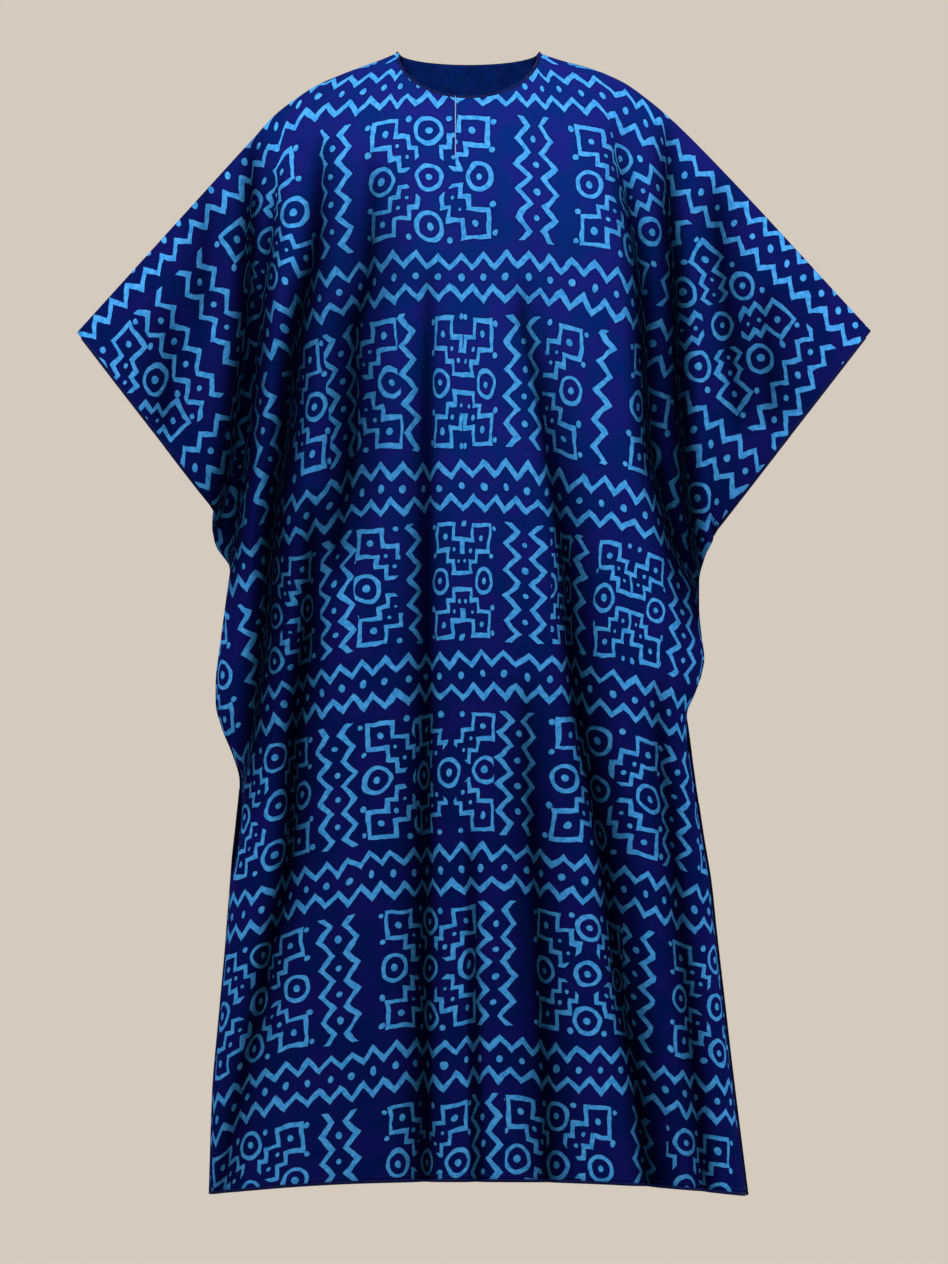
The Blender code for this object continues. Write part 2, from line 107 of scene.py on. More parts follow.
# Folds: name, width left and right of the valley, then stations of drop, x and depth.
FRONT_FOLDS = (
    ("left sleeve root", 13, 16, ((145, -275, 10), (316, -281, 30), (450, -294, 38),
        (574, -314, 22))),
    ("left underarm", 12, 13, ((195, -244, 6), (350, -263, 22), (484, -278, 30), (584, -292, 24),
        (644, -301, 10))),
    ("left side", 17, 21, ((157, -187, 8), (232, -192, 18), (357, -217, 34), (450, -227, 40),
        (607, -248, 40), (714, -256, 33), (795, -265, 25), (909, -280, 8))),
    ("left chest", 30, 34, ((170, -121, 6), (282, -127, 15), (350, -144, 20), (484, -149, 22),
        (617, -167, 12))),
    ("left skirt", 14, 24, ((600, -200, 10), (714, -205, 23), (784, -213, 26), (876, -222, 27),
        (985, -226, 24), (1057, -237, 20), (1131, -254, 18), (1194, -265, 15), (1266, -281, 12),
        (1424, -314, 8))),
    ("middle", 24, 15, ((307, -52, 4), (432, -55, 9), (632, -57, 13), (807, -57, 15),
        (995, -59, 18), (1424, -59, 17))),
    ("middle hem", 9, 11, ((1001, -2, 4), (1182, 2, 9), (1424, 6, 10))),
    ("right long", 15, 26, ((332, 62, 5), (432, 85, 11), (532, 101, 15), (632, 115, 20),
        (806, 130, 24), (890, 145, 24), (1034, 168, 24), (1180, 186, 23), (1295, 206, 22),
        (1424, 222, 22))),
    ("right low", 26, 24, ((832, 66, 5), (932, 72, 10), (1045, 81, 13), (1282, 91, 14),
        (1424, 95, 14))),
    ("right chest", 16, 19, ((132, 179, 5), (232, 200, 16), (307, 210, 23), (395, 216, 30),
        (495, 222, 30), (582, 241, 22), (640, 252, 14), (700, 262, 4))),
    ("right side", 16, 16, ((132, 241, 10), (220, 246, 24), (307, 253, 34), (407, 257, 40),
        (495, 262, 42), (582, 271, 36), (640, 277, 26), (690, 281, 10))),
    ("right underarm tail", 10, 12, ((560, 234, 5), (600, 246, 10), (640, 260, 12),
        (668, 280, 9))),
    ("right skirt", 18, 18, ((832, 230, 8), (995, 249, 14), (1182, 268, 14), (1424, 290, 13))),
    ("left sleeve upper", 26, 26, ((210, -330, 5), (300, -338, 6))),
    ("left sleeve lower", 30, 30, ((360, -375, 7), (440, -382, 7))),
    ("right sleeve upper", 22, 22, ((207, 304, 9), (300, 316, 11), (430, 330, 8))),
    ("right sleeve lower", 30, 30, ((340, 366, 7), (430, 372, 7))),
)
BACK_FOLDS = (
    ("left sleeve root", 16, 18, ((150, -277, 10), (320, -283, 28), (450, -296, 36),
        (574, -314, 20))),
    ("left underarm", 15, 16, ((190, -240, 6), (350, -254, 22), (484, -268, 30), (600, -284, 22))),
    ("left shoulder blade", 20, 20, ((120, -178, 8), (260, -192, 22), (430, -206, 32),
        (600, -218, 32), (780, -236, 24), (900, -250, 8))),
    ("left back", 24, 28, ((260, -106, 6), (450, -118, 16), (700, -134, 20), (950, -150, 20),
        (1200, -168, 20), (1424, -182, 20))),
    ("left back hem", 16, 22, ((760, -206, 8), (950, -222, 18), (1200, -246, 20),
        (1424, -268, 18))),
    ("back middle", 20, 24, ((380, -14, 5), (640, -22, 12), (900, -28, 16), (1424, -34, 18))),
    ("right of middle", 18, 20, ((720, 48, 6), (950, 56, 14), (1200, 62, 17), (1424, 66, 17))),
    ("right back", 24, 22, ((240, 96, 6), (430, 112, 16), (700, 132, 22), (950, 146, 22),
        (1200, 160, 22), (1424, 172, 22))),
    ("right shoulder blade", 20, 20, ((120, 172, 8), (260, 192, 22), (430, 208, 32),
        (600, 226, 30), (760, 244, 18))),
    ("right underarm", 15, 16, ((150, 240, 10), (300, 250, 28), (450, 258, 40), (590, 268, 28),
        (670, 276, 10))),
    ("right back hem", 18, 22, ((860, 214, 8), (1000, 228, 18), (1200, 252, 20), (1424, 276, 18))),
)

CUFF_LEVEL_MIDDLE = 500.0
SLIT_SHARE = 0.176         # how far down the upper rows the slit ends
SLIT_OFFSET = (6.0, 5.0)
SLIT_OFFSET_REACH = 55.0
SLIT_OFFSET_FADE = 14.0
SLIT_RELEASE = 0.3         # share of the upper rows over which its two columns part again
SLIT_EDGE_RADIUS = 0.5
SLIT_EDGE_SIDES = 6
ROW_POWER = 1.5            # rows stand closer near the top line
NECK_STEPS = 721           # places at which the neck edge is walked
NECK_SPREAD = 0.35         # share of the upper rows over which columns leave the neck's spacing
NECK_SPREAD_POWER = 0.8
CUT_STEPS = 41             # places at which the cloth above a cut-out neck is walked

# Counts of the grid: columns over left shoulder, neck and right shoulder, then rows and sleeve
GRID = {"columns": (54, 72, 54), "upper": 78, "lower": 124, "sleeve": 30}

# Pleats under the arms, beyond which the print turns to follow the sleeve: the fold that each one
# follows, its share of the turn, then drop and x where it begins and where it leaves the fold
PLEAT_SOFT = 5.0
FRONT_PLEATS = (
    ("left sleeve root", 0.4, (), ((640, -420),)),
    ("left underarm", 0.3, ((100, -236),), ((740, -420),)),
    ("left side", 0.3, ((100, -186),), ((909, -286), (1020, -420))),
    ("right side", 0.55, ((100, 238),), ((640, 284), (740, 420))),
    ("right chest", 0.45, ((100, 175),), ((640, 260), (668, 284), (760, 420))),
)
BACK_PLEATS = (
    ("left sleeve root", 0.4, (), ((640, -420),)),
    ("left underarm", 0.3, ((100, -236),), ((740, -420),)),
    ("left shoulder blade", 0.3, ((80, -172),), ((900, -270), (1020, -420))),
    ("right underarm", 0.55, ((100, 236),), ((670, 283), (760, 420))),
    ("right shoulder blade", 0.45, ((80, 166),), ((760, 262), (900, 420))),
)

# The print. Bands of facing zigzags run across, each along a line of x and drop. Between them
# stand pairs of zigzags, single ones, and panels of stepped keys, in rows of cells.
FRONT_BANDS = (
    ((-290, 139), (-270, 119), (-234, 82), (-204, 58), (-174, 52), (-138, 49), (-102, 45),
     (-68, 42), (10, 39), (89, 45), (149, 50), (181, 60), (215, 76), (246, 108), (272, 142)),
    ((-215, 319), (-179, 305), (-150, 296), (-126, 289), (-84, 280), (-30, 281), (55, 281),
     (114, 290), (172, 300), (194, 310), (222, 322)),
    ((-271, 601), (-249, 588), (-209, 579), (-188, 570), (-155, 555), (-122, 548), (-65, 545),
     (-16, 542), (41, 542), (75, 545), (104, 549), (122, 558), (155, 562), (210, 576), (242, 589),
     (272, 601)),
    ((-302, 835), (-249, 818), (-222, 811), (-176, 796), (-148, 789), (-118, 785), (-69, 780),
     (19, 775), (81, 780), (128, 784), (145, 795), (178, 799), (205, 806), (234, 814), (252, 826),
     (285, 838)),
    ((-302, 1078), (-258, 1065), (-218, 1048), (-189, 1040), (-160, 1035), (-126, 1026),
     (-74, 1024), (-36, 1020), (40, 1014), (72, 1018), (100, 1025), (155, 1032), (176, 1042),
     (202, 1044), (231, 1055), (264, 1064), (310, 1075)),
    ((-319, 1330), (-276, 1302), (-259, 1298), (-221, 1284), (-160, 1275), (-126, 1268),
     (-75, 1259), (-38, 1262), (12, 1252), (66, 1255), (88, 1262), (198, 1270), (220, 1286),
     (250, 1294), (284, 1302), (335, 1312)),
)
BACK_BANDS = (
    ((-300, 130), (-230, 84), (-150, 56), (0, 46), (150, 54), (230, 82), (300, 140)),
    ((-260, 318), (-150, 298), (-20, 288), (120, 296), (220, 312), (280, 330)),
    ((-290, 586), (-200, 566), (-120, 552), (0, 548), (140, 556), (290, 590)),
    ((-300, 832), (-200, 812), (-110, 796), (20, 788), (150, 800), (300, 836)),
    ((-300, 1074), (-160, 1044), (-20, 1030), (90, 1034), (190, 1052), (300, 1078)),
    ((-320, 1316), (-180, 1280), (-40, 1266), (80, 1270), (200, 1288), (330, 1322)),
)
ROW_REPEAT = 244.0
# On each sleeve: a place that the print is set by, its slope, how far it leans from square, and
# its distance from the middle on the flat cloth; then the half rows above and below that place
SLEEVE_PRINT = (
    ((-364.0, 377.0), 43.5, 0.24, 518.0, 120.0, 114.0),
    ((400.0, 416.0), 40.8, 0.20, 573.0, 110.0, 121.0),
)
BAND_PERIOD = 28.0
BAND_HALF = 20.5
BAND_SWING = 7.6
BAND_DOT = 3.7
BAND_DOT_SQUASH = 0.8
PAIR_PERIOD = 33.0
PAIR_HALF = 16.0
PAIR_SWING = 7.5
PAIR_REACH = 78.0
PAIR_DOT = 3.6
LINE_HALF = 3.0
KEY_BOXES = (((58.5, 56.0), (16.0, 16.5)), ((38.0, 39.0), (13.0, 13.5)), ((27.5, 24.5), (12.0, 13.5)))
KEY_TAIL_CUT = 27.0
KEY_TAIL_SLANT = 0.7      # about the cosine of 45 degrees
KEY_LINE = 2.65
KEY_DOTS = (((58.5, 56.0), 4.0), ((40.0, 40.0), 2.6), ((29.0, 26.0), 2.4), ((25.0, 74.0), 3.6),
            ((80.0, 34.0), 3.6), ((82.0, 69.0), 3.4))
RINGS = ((0.0, 0.0), (64.0, 0.0), (0.0, 60.0))
RING_RADIUS = 15.5
RING_LINE = 2.5
RING_DOT = 4.2
BROAD_WOBBLE = 6.5
SMALL_WOBBLE = 3.2
LINE_UNEVEN = 3.2
FAR = 500.0                # pushes a motif out of the cells that it isn't in
PRINT_REACH = 900.0
RAMP_STOPS = 31            # a colour ramp holds 32
CELL_KINDS = {"keys": 0.0, "single": 0.5, "pair": 1.0}
KIND_REACH = 0.1
KEY_HALF = 84.0            # half width of a whole panel of keys
KEY_SQUEEZE = 0.0101       # a narrower panel is squeezed by this share for each millimetre
KEY_SHIFT = 0.41           # and its keys stand this much closer to the middle
OUTER_WIDTHS = {"keys": 180.0, "pair": 68.0}
NARROW_HALF = 66.0         # narrower panels have no middle ring
CROWDED_HALF = 75.0        # and these have none above and below it
# Each row: where its first cell starts, then kind, middle, half width and end of each cell
PRINT_ROWS = {
    -1: (-84, (("keys", 0, 84, 84),)),
    0: (-710, (("keys", -626, 84, -547), ("pair", -518, 84, -483), ("pair", -448, 84, -410),
               ("keys", -322, 84, -212), ("pair", -182, 84, -150), ("keys", -54, 84, 45),
               ("pair", 80, 84, 112), ("keys", 212, 84, 300), ("pair", 335, 84, 368),
               ("keys", 456, 84, 540), ("pair", 573, 84, 610))),
    1: (-350, (("keys", -283, 75, -217), ("pair", -190, 84, -163), ("keys", -173, 84, -101),
               ("single", -86, 84, -76), ("keys", -11, 50, 34), ("pair", 65, 84, 93),
               ("keys", 89, 66, 160), ("single", 173, 84, 188), ("keys", 290, 84, 380))),
    2: (-217, (("pair", -189, 84, -162), ("keys", -84, 84, -109), ("single", -87, 84, -72),
               ("keys", -11, 48, 34), ("pair", 66, 84, 92), ("keys", 117, 43, 147),
               ("single", 162, 84, 177), ("keys", 228, 56, 274))),
    3: (-220, (("pair", -192, 84, -165), ("keys", -77, 84, -98), ("keys", -28, 67, 27),
               ("pair", 57, 84, 86), ("keys", 194, 91, 285), ("pair", 312, 84, 346))),
    4: (-400, (("keys", -317, 84, -225), ("pair", -197, 84, -170), ("keys", -66, 80, 5),
               ("pair", 34, 84, 67), ("keys", 164, 78, 235), ("pair", 257, 84, 279),
               ("keys", 386, 84, 472))),
    5: (-400, (("keys", -316, 80, -228), ("pair", -198, 84, -170), ("keys", -75, 70, -10),
               ("pair", 19, 84, 45), ("keys", 124, 80, 211), ("pair", 253, 84, 292),
               ("keys", 320, 84, 445))),
}

# Ground colours, each in a navy and a violet tone: painted lit, as at the chest where light and the
# satin's sheen fall, and painted dim, as toward the hem
GROUND_PAINTED_LIT = (0.0018, 0.0140, 0.118)
VIOLET_PAINTED_LIT = (0.0065, 0.0095, 0.130)
GROUND_PAINTED_DIM = (0.0009, 0.0055, 0.058)
VIOLET_PAINTED_DIM = (0.0040, 0.0046, 0.072)
PAINTED_GLOW_CENTRE = (0.02, -0.12)        # x and z about which the ground's painted highlight is at its brightest
PAINTED_GLOW_REACH = (0.06, 0.44)
PAINTED_GLOW_SQUASH = 0.55
RIM = (0.002, 0.005, 0.045)
AZURE = (0.022, 0.181, 0.475)
AZURE_LIGHT = (0.056, 0.270, 0.600)
HEM_COLOUR = (0.0015, 0.0050, 0.048)
THREAD_COLOUR = (0.010, 0.030, 0.200)
PALE_THREAD = (0.22, 0.30, 0.48)
# how dark the painted shade at the bottom of a deep fold valley is
HOLLOW_SHADE = 0.93
INSIDE_PRINT = 0.07        # how much of the print shows on the inside of the cloth
PRINT_EDGE = (-0.35, 0.45)         # millimetres over which the print's edge fades
RIM_REACH = (0.6, 3.0)
RIM_SHARE = 0.45
PATCH_EDGE = (0.38, 0.62)
INK_EDGE = (0.30, 0.68)
# Noise: scale and detail
BROAD_NOISE = (0.011, 1.0)
SMALL_NOISE = (0.045, 1.5)
PATCH_NOISE = (0.02, 3.0)
INK_NOISE = (0.16, 3.0)
SLUB_NOISE = (0.35, 4.0)
DYE_NOISE = (60.0, 3.0)
FLOOR_NOISE = (3.0, 3.0)
PLAIN_EDGE = (0.35, 0.65)
FLOOR_EDGE = (0.3, 0.7)
DEEP_DYE = 0.72
FLOOR_SHADE = 0.94
PRINTED_ROUGHNESS = 0.44
PATCH_ROUGHNESS = 0.10     # more of it on the violet patches
INK_ROUGHNESS = 0.06       # and on the print
WEAVE_HEIGHT = 0.12
SLUB_HEIGHT = 0.5
FACING_COLOUR = (0.002, 0.021, 0.170)
THREAD = 0.5

FACING_END = 0.085
FACING_INSET = 3
FACING_CLOTH = 0.6
FACING_GAP = 0.2
SLIT_TOP = 918.0           # drop at which the side seams end
HEM_SIDES = 8
HEM_HALF_WIDE = 2.1
HEM_HALF_THICK = 0.95
HEM_INSET = 0.9
NECK_STITCH_ROW = 4
FACING_STITCH_ROW = 3
STITCH_STEP = 3.6
STITCH_HALF = 1.35
STITCH_HALF_WIDE = 0.26
STITCH_HALF_HIGH = 0.30
BACK_SHIFT = 25.0          # the back's print runs the other way about, moved by this

# Stage
SENSOR = 36.0
CAMERA_DISTANCE = 25.0
VIEW_HEIGHT = 1.58
VIEW_CENTRE = (0.0025, -0.6925)
FLOOR_LEVEL = -1.53
FLOOR_RADIUS = 1.9
FLOOR_FADE = (0.5, 1.85)
FLOOR_COLOUR = (0.62, 0.57, 0.49)
BACKDROP_COLOUR = (0.66, 0.59, 0.51, 1.0)
FILL_COLOUR = (0.06, 0.06, 0.06, 1.0)
LIGHTS = (
    ("key", (-0.48, -1.75, 0.82), (0.0, 0.0, -0.26), (0.7, 0.7), 45.0, (1.0, 0.98, 0.96)),
    ("fill", (1.2, -2.1, -0.2), (0.0, 0.0, -0.8), (0.8, 1.2), 11.5, (0.95, 0.97, 1.0)),
    ("left", (-2.1, -0.5, 0.1), (0.0, 0.0, -0.6), (0.7, 1.4), 25.0, (0.97, 0.98, 1.0)),
    ("right", (2.1, -0.5, 0.1), (0.0, 0.0, -0.6), (0.7, 1.4), 38.0, (0.97, 0.98, 1.0)),
    ("back left", (-1.0, 2.0, 0.3), (0.0, 0.0, -0.5), (0.8, 0.8), 36.0, (1.0, 0.98, 0.96)),
    ("back right", (1.2, 2.1, 0.0), (0.0, 0.0, -0.8), (0.8, 1.2), 22.0, (0.95, 0.97, 1.0)),
    ("above", (0.0, 0.0, 2.4), (0.0, 0.0, 0.0), (2.4, 2.4), 60.0, (1.0, 0.99, 0.97)),
)


def smooth_line(stations):
    """A line through rows of place and value with no overshoot, level beyond both ends."""
    place = np.array([row[0] for row in stations], float)
    value = np.array([row[1] for row in stations], float)
    step = np.diff(place)
    slope = np.diff(value) / step
    tangent = np.zeros(len(value))
    tangent[0] = slope[0]
    tangent[-1] = slope[-1]
    for i in range(1, len(value) - 1):
        if slope[i - 1] * slope[i] > 0.0:
            tangent[i] = 2.0 * slope[i - 1] * slope[i] / (slope[i - 1] + slope[i])

    def line(where):
        where = np.clip(where, place[0], place[-1])
        i = np.clip(np.searchsorted(place, where, side="right") - 1, 0, len(step) - 1)
        t = (where - place[i]) / step[i]
        rise = t * t * (3.0 - 2.0 * t)
        leave = t * (1.0 - t) ** 2 * step[i] * tangent[i]
        arrive = -t * t * (1.0 - t) * step[i] * tangent[i + 1]
        return value[i] + (value[i + 1] - value[i]) * rise + leave + arrive

    return line


def rounded(share, power):
    """Falls from 1 to 0 round a corner as share goes from 0 to 1."""
    return (1.0 - share ** power) ** (1.0 / power)


def quarter(share, power):
    """Rise from 0 to 1 that starts upright and ends level, as over a shoulder."""
    return rounded(1.0 - np.clip(share, 0.0, 1.0), power)


ridge_drop = smooth_line(RIDGE)
front_depth_line = smooth_line(FRONT_DEPTH)
back_depth_line = smooth_line(BACK_DEPTH)
slit_swing_line = smooth_line(SLIT_SWING)
left_core_line = smooth_line(LEFT_CORE)
right_core_line = smooth_line(RIGHT_CORE)


def hem_drop(x):
    return HEM_MIDDLE + HEM_SIDE_SAG * np.abs(x / HEM_HALF_WIDTH) ** HEM_SAG_POWER


def fold_depth(folds, x, drop):
    """Depth of all the folds together at a place of the panel."""
    total = np.zeros(np.shape(x))
    for _, left_width, right_width, stations in folds:
        first, last = stations[0], stations[-1]
        depths = [(first[0] - FADE, 0.0)] + [(row[0], row[2]) for row in stations]
        if last[0] < HEM_MIDDLE:
            depths.append((last[0] + FADE, 0.0))
        off = x - smooth_line([(row[0], row[1]) for row in stations])(drop)
        width = np.where(off < 0.0, left_width, right_width)
        valley = np.exp(-((off / width) ** 2)) + CORE_SHARE * np.exp(-((off / CORE_WIDTH) ** 2))
        total = total + smooth_line(depths)(drop) * valley
    return total


def cloth_depth(x, drop, across, depth_line, folds):
    """How far the cloth lies from the middle plane. across is -1 and 1 on the body's side lines."""
    below = np.maximum(drop - ridge_drop(x), 0.0)
    lean = np.clip(x / CUFF_CORNER[1][0], -1.0, 1.0)
    left, right = SLEEVE_HEIGHT
    height = 0.5 * (left + right) + 0.5 * lean * (right - left)
    down_sleeve = np.clip(below / height, 0.0, 1.0)
    sleeve = SLEEVE_DEPTH * rounded(np.abs(2.0 * down_sleeve - 1.0), SLEEVE_ROUND)
    round_side = rounded(np.minimum(np.abs(across), 1.0), BODY_ROUND)
    swing = slit_swing_line(drop)
    body = swing + (depth_line(drop) - swing) * round_side * quarter(below / CHEST_DROP, ARCH_POWER)
    base = (sleeve ** BLEND_POWER + body ** BLEND_POWER) ** (1.0 / BLEND_POWER)
    fold = fold_depth(folds, x, drop)
    sunk = base * np.exp(-np.maximum(fold, 0.0) / np.maximum(base, 1e-6))
    return sunk + np.maximum(-fold, 0.0) * np.minimum(base / RAISED_BASE, 1.0)


def laid_depth(x, drop, across, depth_line):
    """The same without any folds."""
    return cloth_depth(x, drop, across, depth_line, ())


def top_line(columns, neck_drop):
    """Places of the grid's columns on the top edge of the body: x and drop."""
    left, neck, right = columns
    start = NECK_CENTRE - NECK_HALF_WIDTH
    end = NECK_CENTRE + NECK_HALF_WIDTH
    left_x = np.linspace(SLEEVE_ROOT[0], start, left + 1)[:-1]
    right_x = np.linspace(end, SLEEVE_ROOT[1], right + 1)[1:]
    fine = np.linspace(math.pi, 0.0, NECK_STEPS)
    steps = np.hypot(np.diff(NECK_HALF_WIDTH * np.cos(fine)), np.diff(neck_drop * np.sin(fine)))
    walked = np.concatenate(([0.0], np.cumsum(steps)))
    angle = np.interp(np.linspace(0.0, walked[-1], neck + 1), walked, fine)
    x = np.concatenate((left_x, NECK_CENTRE + NECK_HALF_WIDTH * np.cos(angle), right_x))
    drop = np.concatenate((ridge_drop(left_x), neck_drop * np.sin(angle), ridge_drop(right_x)))
    return x, drop


def across_body(side_lines, drops, across):
    """x of every column between the two side lines, at the drops of the row's two ends."""
    share = 0.5 * (across + 1.0)
    left_core, right_core = left_core_line(drops[0]), right_core_line(drops[1])
    left_edge, right_edge = side_lines[0](drops[0]), side_lines[1](drops[1])
    x = left_core * (1.0 - share) + right_core * share
    x = x + (left_edge - left_core) * np.maximum(-across, 0.0) ** CORE_POWER
    return x + (right_edge - right_core) * np.maximum(across, 0.0) ** CORE_POWER


def upper_shares(count):
    """Rows from the top line to the cuff-corner level, closer near the top, one at the slit's end."""
    shares = np.linspace(0.0, 1.0, count + 1) ** ROW_POWER
    shares[np.argmin(np.abs(shares - SLIT_SHARE))] = SLIT_SHARE
    return shares


def body_grid(size, neck_drop, side_lines):
    """x, drop and across for every row and column of a panel's body."""
    top_x, top_drop = top_line(size["columns"], neck_drop)
    across = np.linspace(-1.0, 1.0, len(top_x))
    corner = np.where(across < 0.0, CUFF_CORNER[0][1], CUFF_CORNER[1][1])
    cuff_level = CUFF_LEVEL_MIDDLE + (corner - CUFF_LEVEL_MIDDLE) * np.abs(across) ** 2
    edges = (smooth_line(side_lines[0]), smooth_line(side_lines[1]))
    rows = []
    for part in upper_shares(size["upper"]):
        drop = top_drop + (cuff_level - top_drop) * part
        even = min(part / NECK_SPREAD, 1.0) ** NECK_SPREAD_POWER
        spread = across_body(edges, (drop[0], drop[-1]), across)
        rows.append((top_x * (1.0 - even) + spread * even, drop))
    for part in np.linspace(0.0, 1.0, size["lower"] + 1)[1:]:
        ends = [level + (hem_drop(HEM_HALF_WIDTH) - level) * part for level in cuff_level[[0, -1]]]
        x = across_body(edges, ends, across)
        rows.append((x, cuff_level + (hem_drop(x) - cuff_level) * part))
    x = np.array([row[0] for row in rows])
    drop = np.array([row[1] for row in rows])
    return x, drop, np.tile(across, (len(rows), 1))


def open_slit(x, size):
    """Bring the two columns beside the slit together as far down as its end."""
    shares = upper_shares(size["upper"])
    end = int(np.argmin(np.abs(shares - SLIT_SHARE)))
    first = int(np.searchsorted(x[end], SLIT_X)) - 1
    edges = (SLIT_X - 0.5 * SLIT_WIDTH, SLIT_X + 0.5 * SLIT_WIDTH)
    free = np.clip((shares - SLIT_SHARE) / SLIT_RELEASE, 0.0, 1.0)
    for column, edge in zip((first, first + 1), edges):
        x[:len(shares), column] = edge * (1.0 - free) + x[:len(shares), column] * free
    return first, end


def sleeve_grid(x, drop, size, side):
    """x and drop for the sleeve's own columns, from the body's side line out to the cuff tip."""
    edge = 0 if side == 0 else -1
    down = upper_shares(size["upper"])
    root_x = x[:len(down), edge]
    root_drop = drop[:len(down), edge]
    tip_x, tip_drop = TIP[side]
    straight_x = root_x[0] + (root_x[-1] - root_x[0]) * down
    straight_drop = root_drop[0] + (root_drop[-1] - root_drop[0]) * down
    all_x, all_drop = [root_x], [root_drop]
    for out in np.linspace(0.0, 1.0, size["sleeve"] + 1)[1:]:
        bend = (1.0 - out) ** 2
        line_x = straight_x + (tip_x - straight_x) * out + (root_x - straight_x) * bend
        line_drop = straight_drop + (tip_drop - straight_drop) * out
        line_drop = line_drop + (root_drop - straight_drop) * bend
        line_drop[0] = ridge_drop(line_x[0])
        all_x.append(line_x)
        all_drop.append(line_drop)
    return np.array(all_x).T, np.array(all_drop).T


def walk(steps, start):
    """Running sum of steps along the last axis, zero at the place start."""
    run = np.concatenate((np.zeros(steps.shape[:-1] + (1,)), np.cumsum(steps, axis=-1)), axis=-1)
    return run - run[..., start:start + 1]


class Panel:
    """Inner points and faces of one cloth panel, front or back, at one fineness."""

    def __init__(self, size, neck_drop, side_lines, depth_line, folds, forward):
        self.forward = forward
        x, drop, across = body_grid(size, neck_drop, side_lines)
        self.slit = open_slit(x, size) if forward < 0 else None
        sides = [(x, drop, across)]
        for side in (0, 1):
            sleeve_x, sleeve_drop = sleeve_grid(x, drop, size, side)
            sides.append((sleeve_x, sleeve_drop, np.ones(sleeve_x.shape)))
        points, painted_shade, self.blocks = [], [], []
        start = 0
        for block, (bx, bd, ba) in enumerate(sides):
            depth = cloth_depth(bx, bd, ba, depth_line, folds) + 0.5 * SEAM_GAP
            # painted shade: the deeper the fold valley here, the darker the cloth's colour is painted
            valley = np.maximum(fold_depth(folds, bx, bd), 0.0).ravel()
            painted_shade.append(1.0 - np.exp(-valley / HOLLOW_DEPTH))
            numbers = np.arange(start, start + bx.size).reshape(bx.shape)
            if block == 0:
                self.laid = self.measure_down(bx, bd, ba, depth_line)
            points.append(np.stack((bx, forward * depth, HOLD_DROP - bd), axis=-1).reshape(-1, 3) * MM)
            start += bx.size
            if block:
                numbers[:, 0] = self.blocks[0][:numbers.shape[0], 0 if block == 1 else -1]
                numbers[:, -1] = numbers[0, -1]
            self.blocks.append(numbers)
        self.points = np.concatenate(points)
        self.drop = np.concatenate([block[1].ravel() for block in sides])
        self.painted_shade = np.concatenate(painted_shade)
        self.faces = self.make_faces()
        self.keep_used()

    def measure_down(self, x, drop, across, depth_line):
        """Length of cloth from the shoulder line down to each point of the body, folds left out."""
        depth = laid_depth(x, drop, across, depth_line)
        down = walk(np.hypot(np.diff(drop, axis=0), np.diff(depth, axis=0)).T, 0).T
        crown = ridge_drop(x[0])
        shares = np.linspace(0.0, 1.0, CUT_STEPS)[:, None]
        cut_drop = crown + (drop[0] - crown) * shares
        cut_depth = laid_depth(x[0] + 0.0 * shares, cut_drop, across[0] + 0.0 * shares, depth_line)
        return np.hypot(np.diff(cut_drop, axis=0), np.diff(cut_depth, axis=0)).sum(axis=0) + down

    def make_faces(self):
        faces = []
        for block, numbers in enumerate(self.blocks):
            a, b = numbers[:-1, :-1], numbers[:-1, 1:]
            c, d = numbers[1:, 1:], numbers[1:, :-1]
            quads = np.stack((a, b, c, d), axis=-1)
            keep = np.ones(quads.shape[:2], bool)
            if block == 0 and self.slit:
                keep[:self.slit[1], self.slit[0]] = False
            quads = quads[keep]
            if (block != 1) == (self.forward < 0):
                quads = quads[:, ::-1]
            for quad in quads.tolist():
                corners = list(dict.fromkeys(quad))
                if len(corners) > 2:
                    faces.append(corners)
        return faces

    def keep_used(self):
        """Drop the points that no face uses and number the rest again."""
        used = np.zeros(len(self.points), bool)
        for face in self.faces:
            used[face] = True
        new = np.cumsum(used) - 1
        self.points = self.points[used]
        self.drop = self.drop[used]
        self.painted_shade = self.painted_shade[used]
        self.faces = [[int(new[i]) for i in face] for face in self.faces]
        self.blocks = [new[numbers] for numbers in self.blocks]
        self.normals = normals_of(self.points, self.faces)
        self.normals[:, 1] = self.forward * np.maximum(self.forward * self.normals[:, 1], 0.0)


def sheet_mesh(name, points, faces):
    mesh = bpy.data.meshes.new(name)
    mesh.from_pydata(points.tolist(), [], faces)
    mesh.update()
    return mesh


def link(name, data):
    thing = bpy.data.objects.new(name, data)
    bpy.context.scene.collection.objects.link(thing)
    return thing


def add_piece(name, mesh, material, node=None):
    """A piece of the one body. node is the solid that it stands for."""
    mesh.materials.append(material)
    piece = link(name, mesh)
    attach(piece, "root")
    if node:
        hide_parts(node)
    return piece


def normals_of(points, faces):
    mesh = sheet_mesh("normals", points, faces)
    found = np.empty(len(points) * 3)
    mesh.vertex_normals.foreach_get("vector", found)
    bpy.data.meshes.remove(mesh)
    return found.reshape(-1, 3)


def step_up(value, low, high):
    """0 below low, 1 above high, and smooth between."""
    t = np.clip((value - low) / (high - low), 0.0, 1.0)
    return t * t * (3.0 - 2.0 * t)


def pleat_lines(folds, pleats):
    """Side (0 left, 1 right), share of the turn, and line of drop and x of each pleat."""
    stations = {fold[0]: fold[3] for fold in folds}
    lines = []
    for name, share, start, end in pleats:
        run = [(drop, x) for drop, x, _ in stations[name] if drop < end[0][0]]
        lines.append((int(run[0][1] > 0), share, (*start, *run, *end)))
    return lines


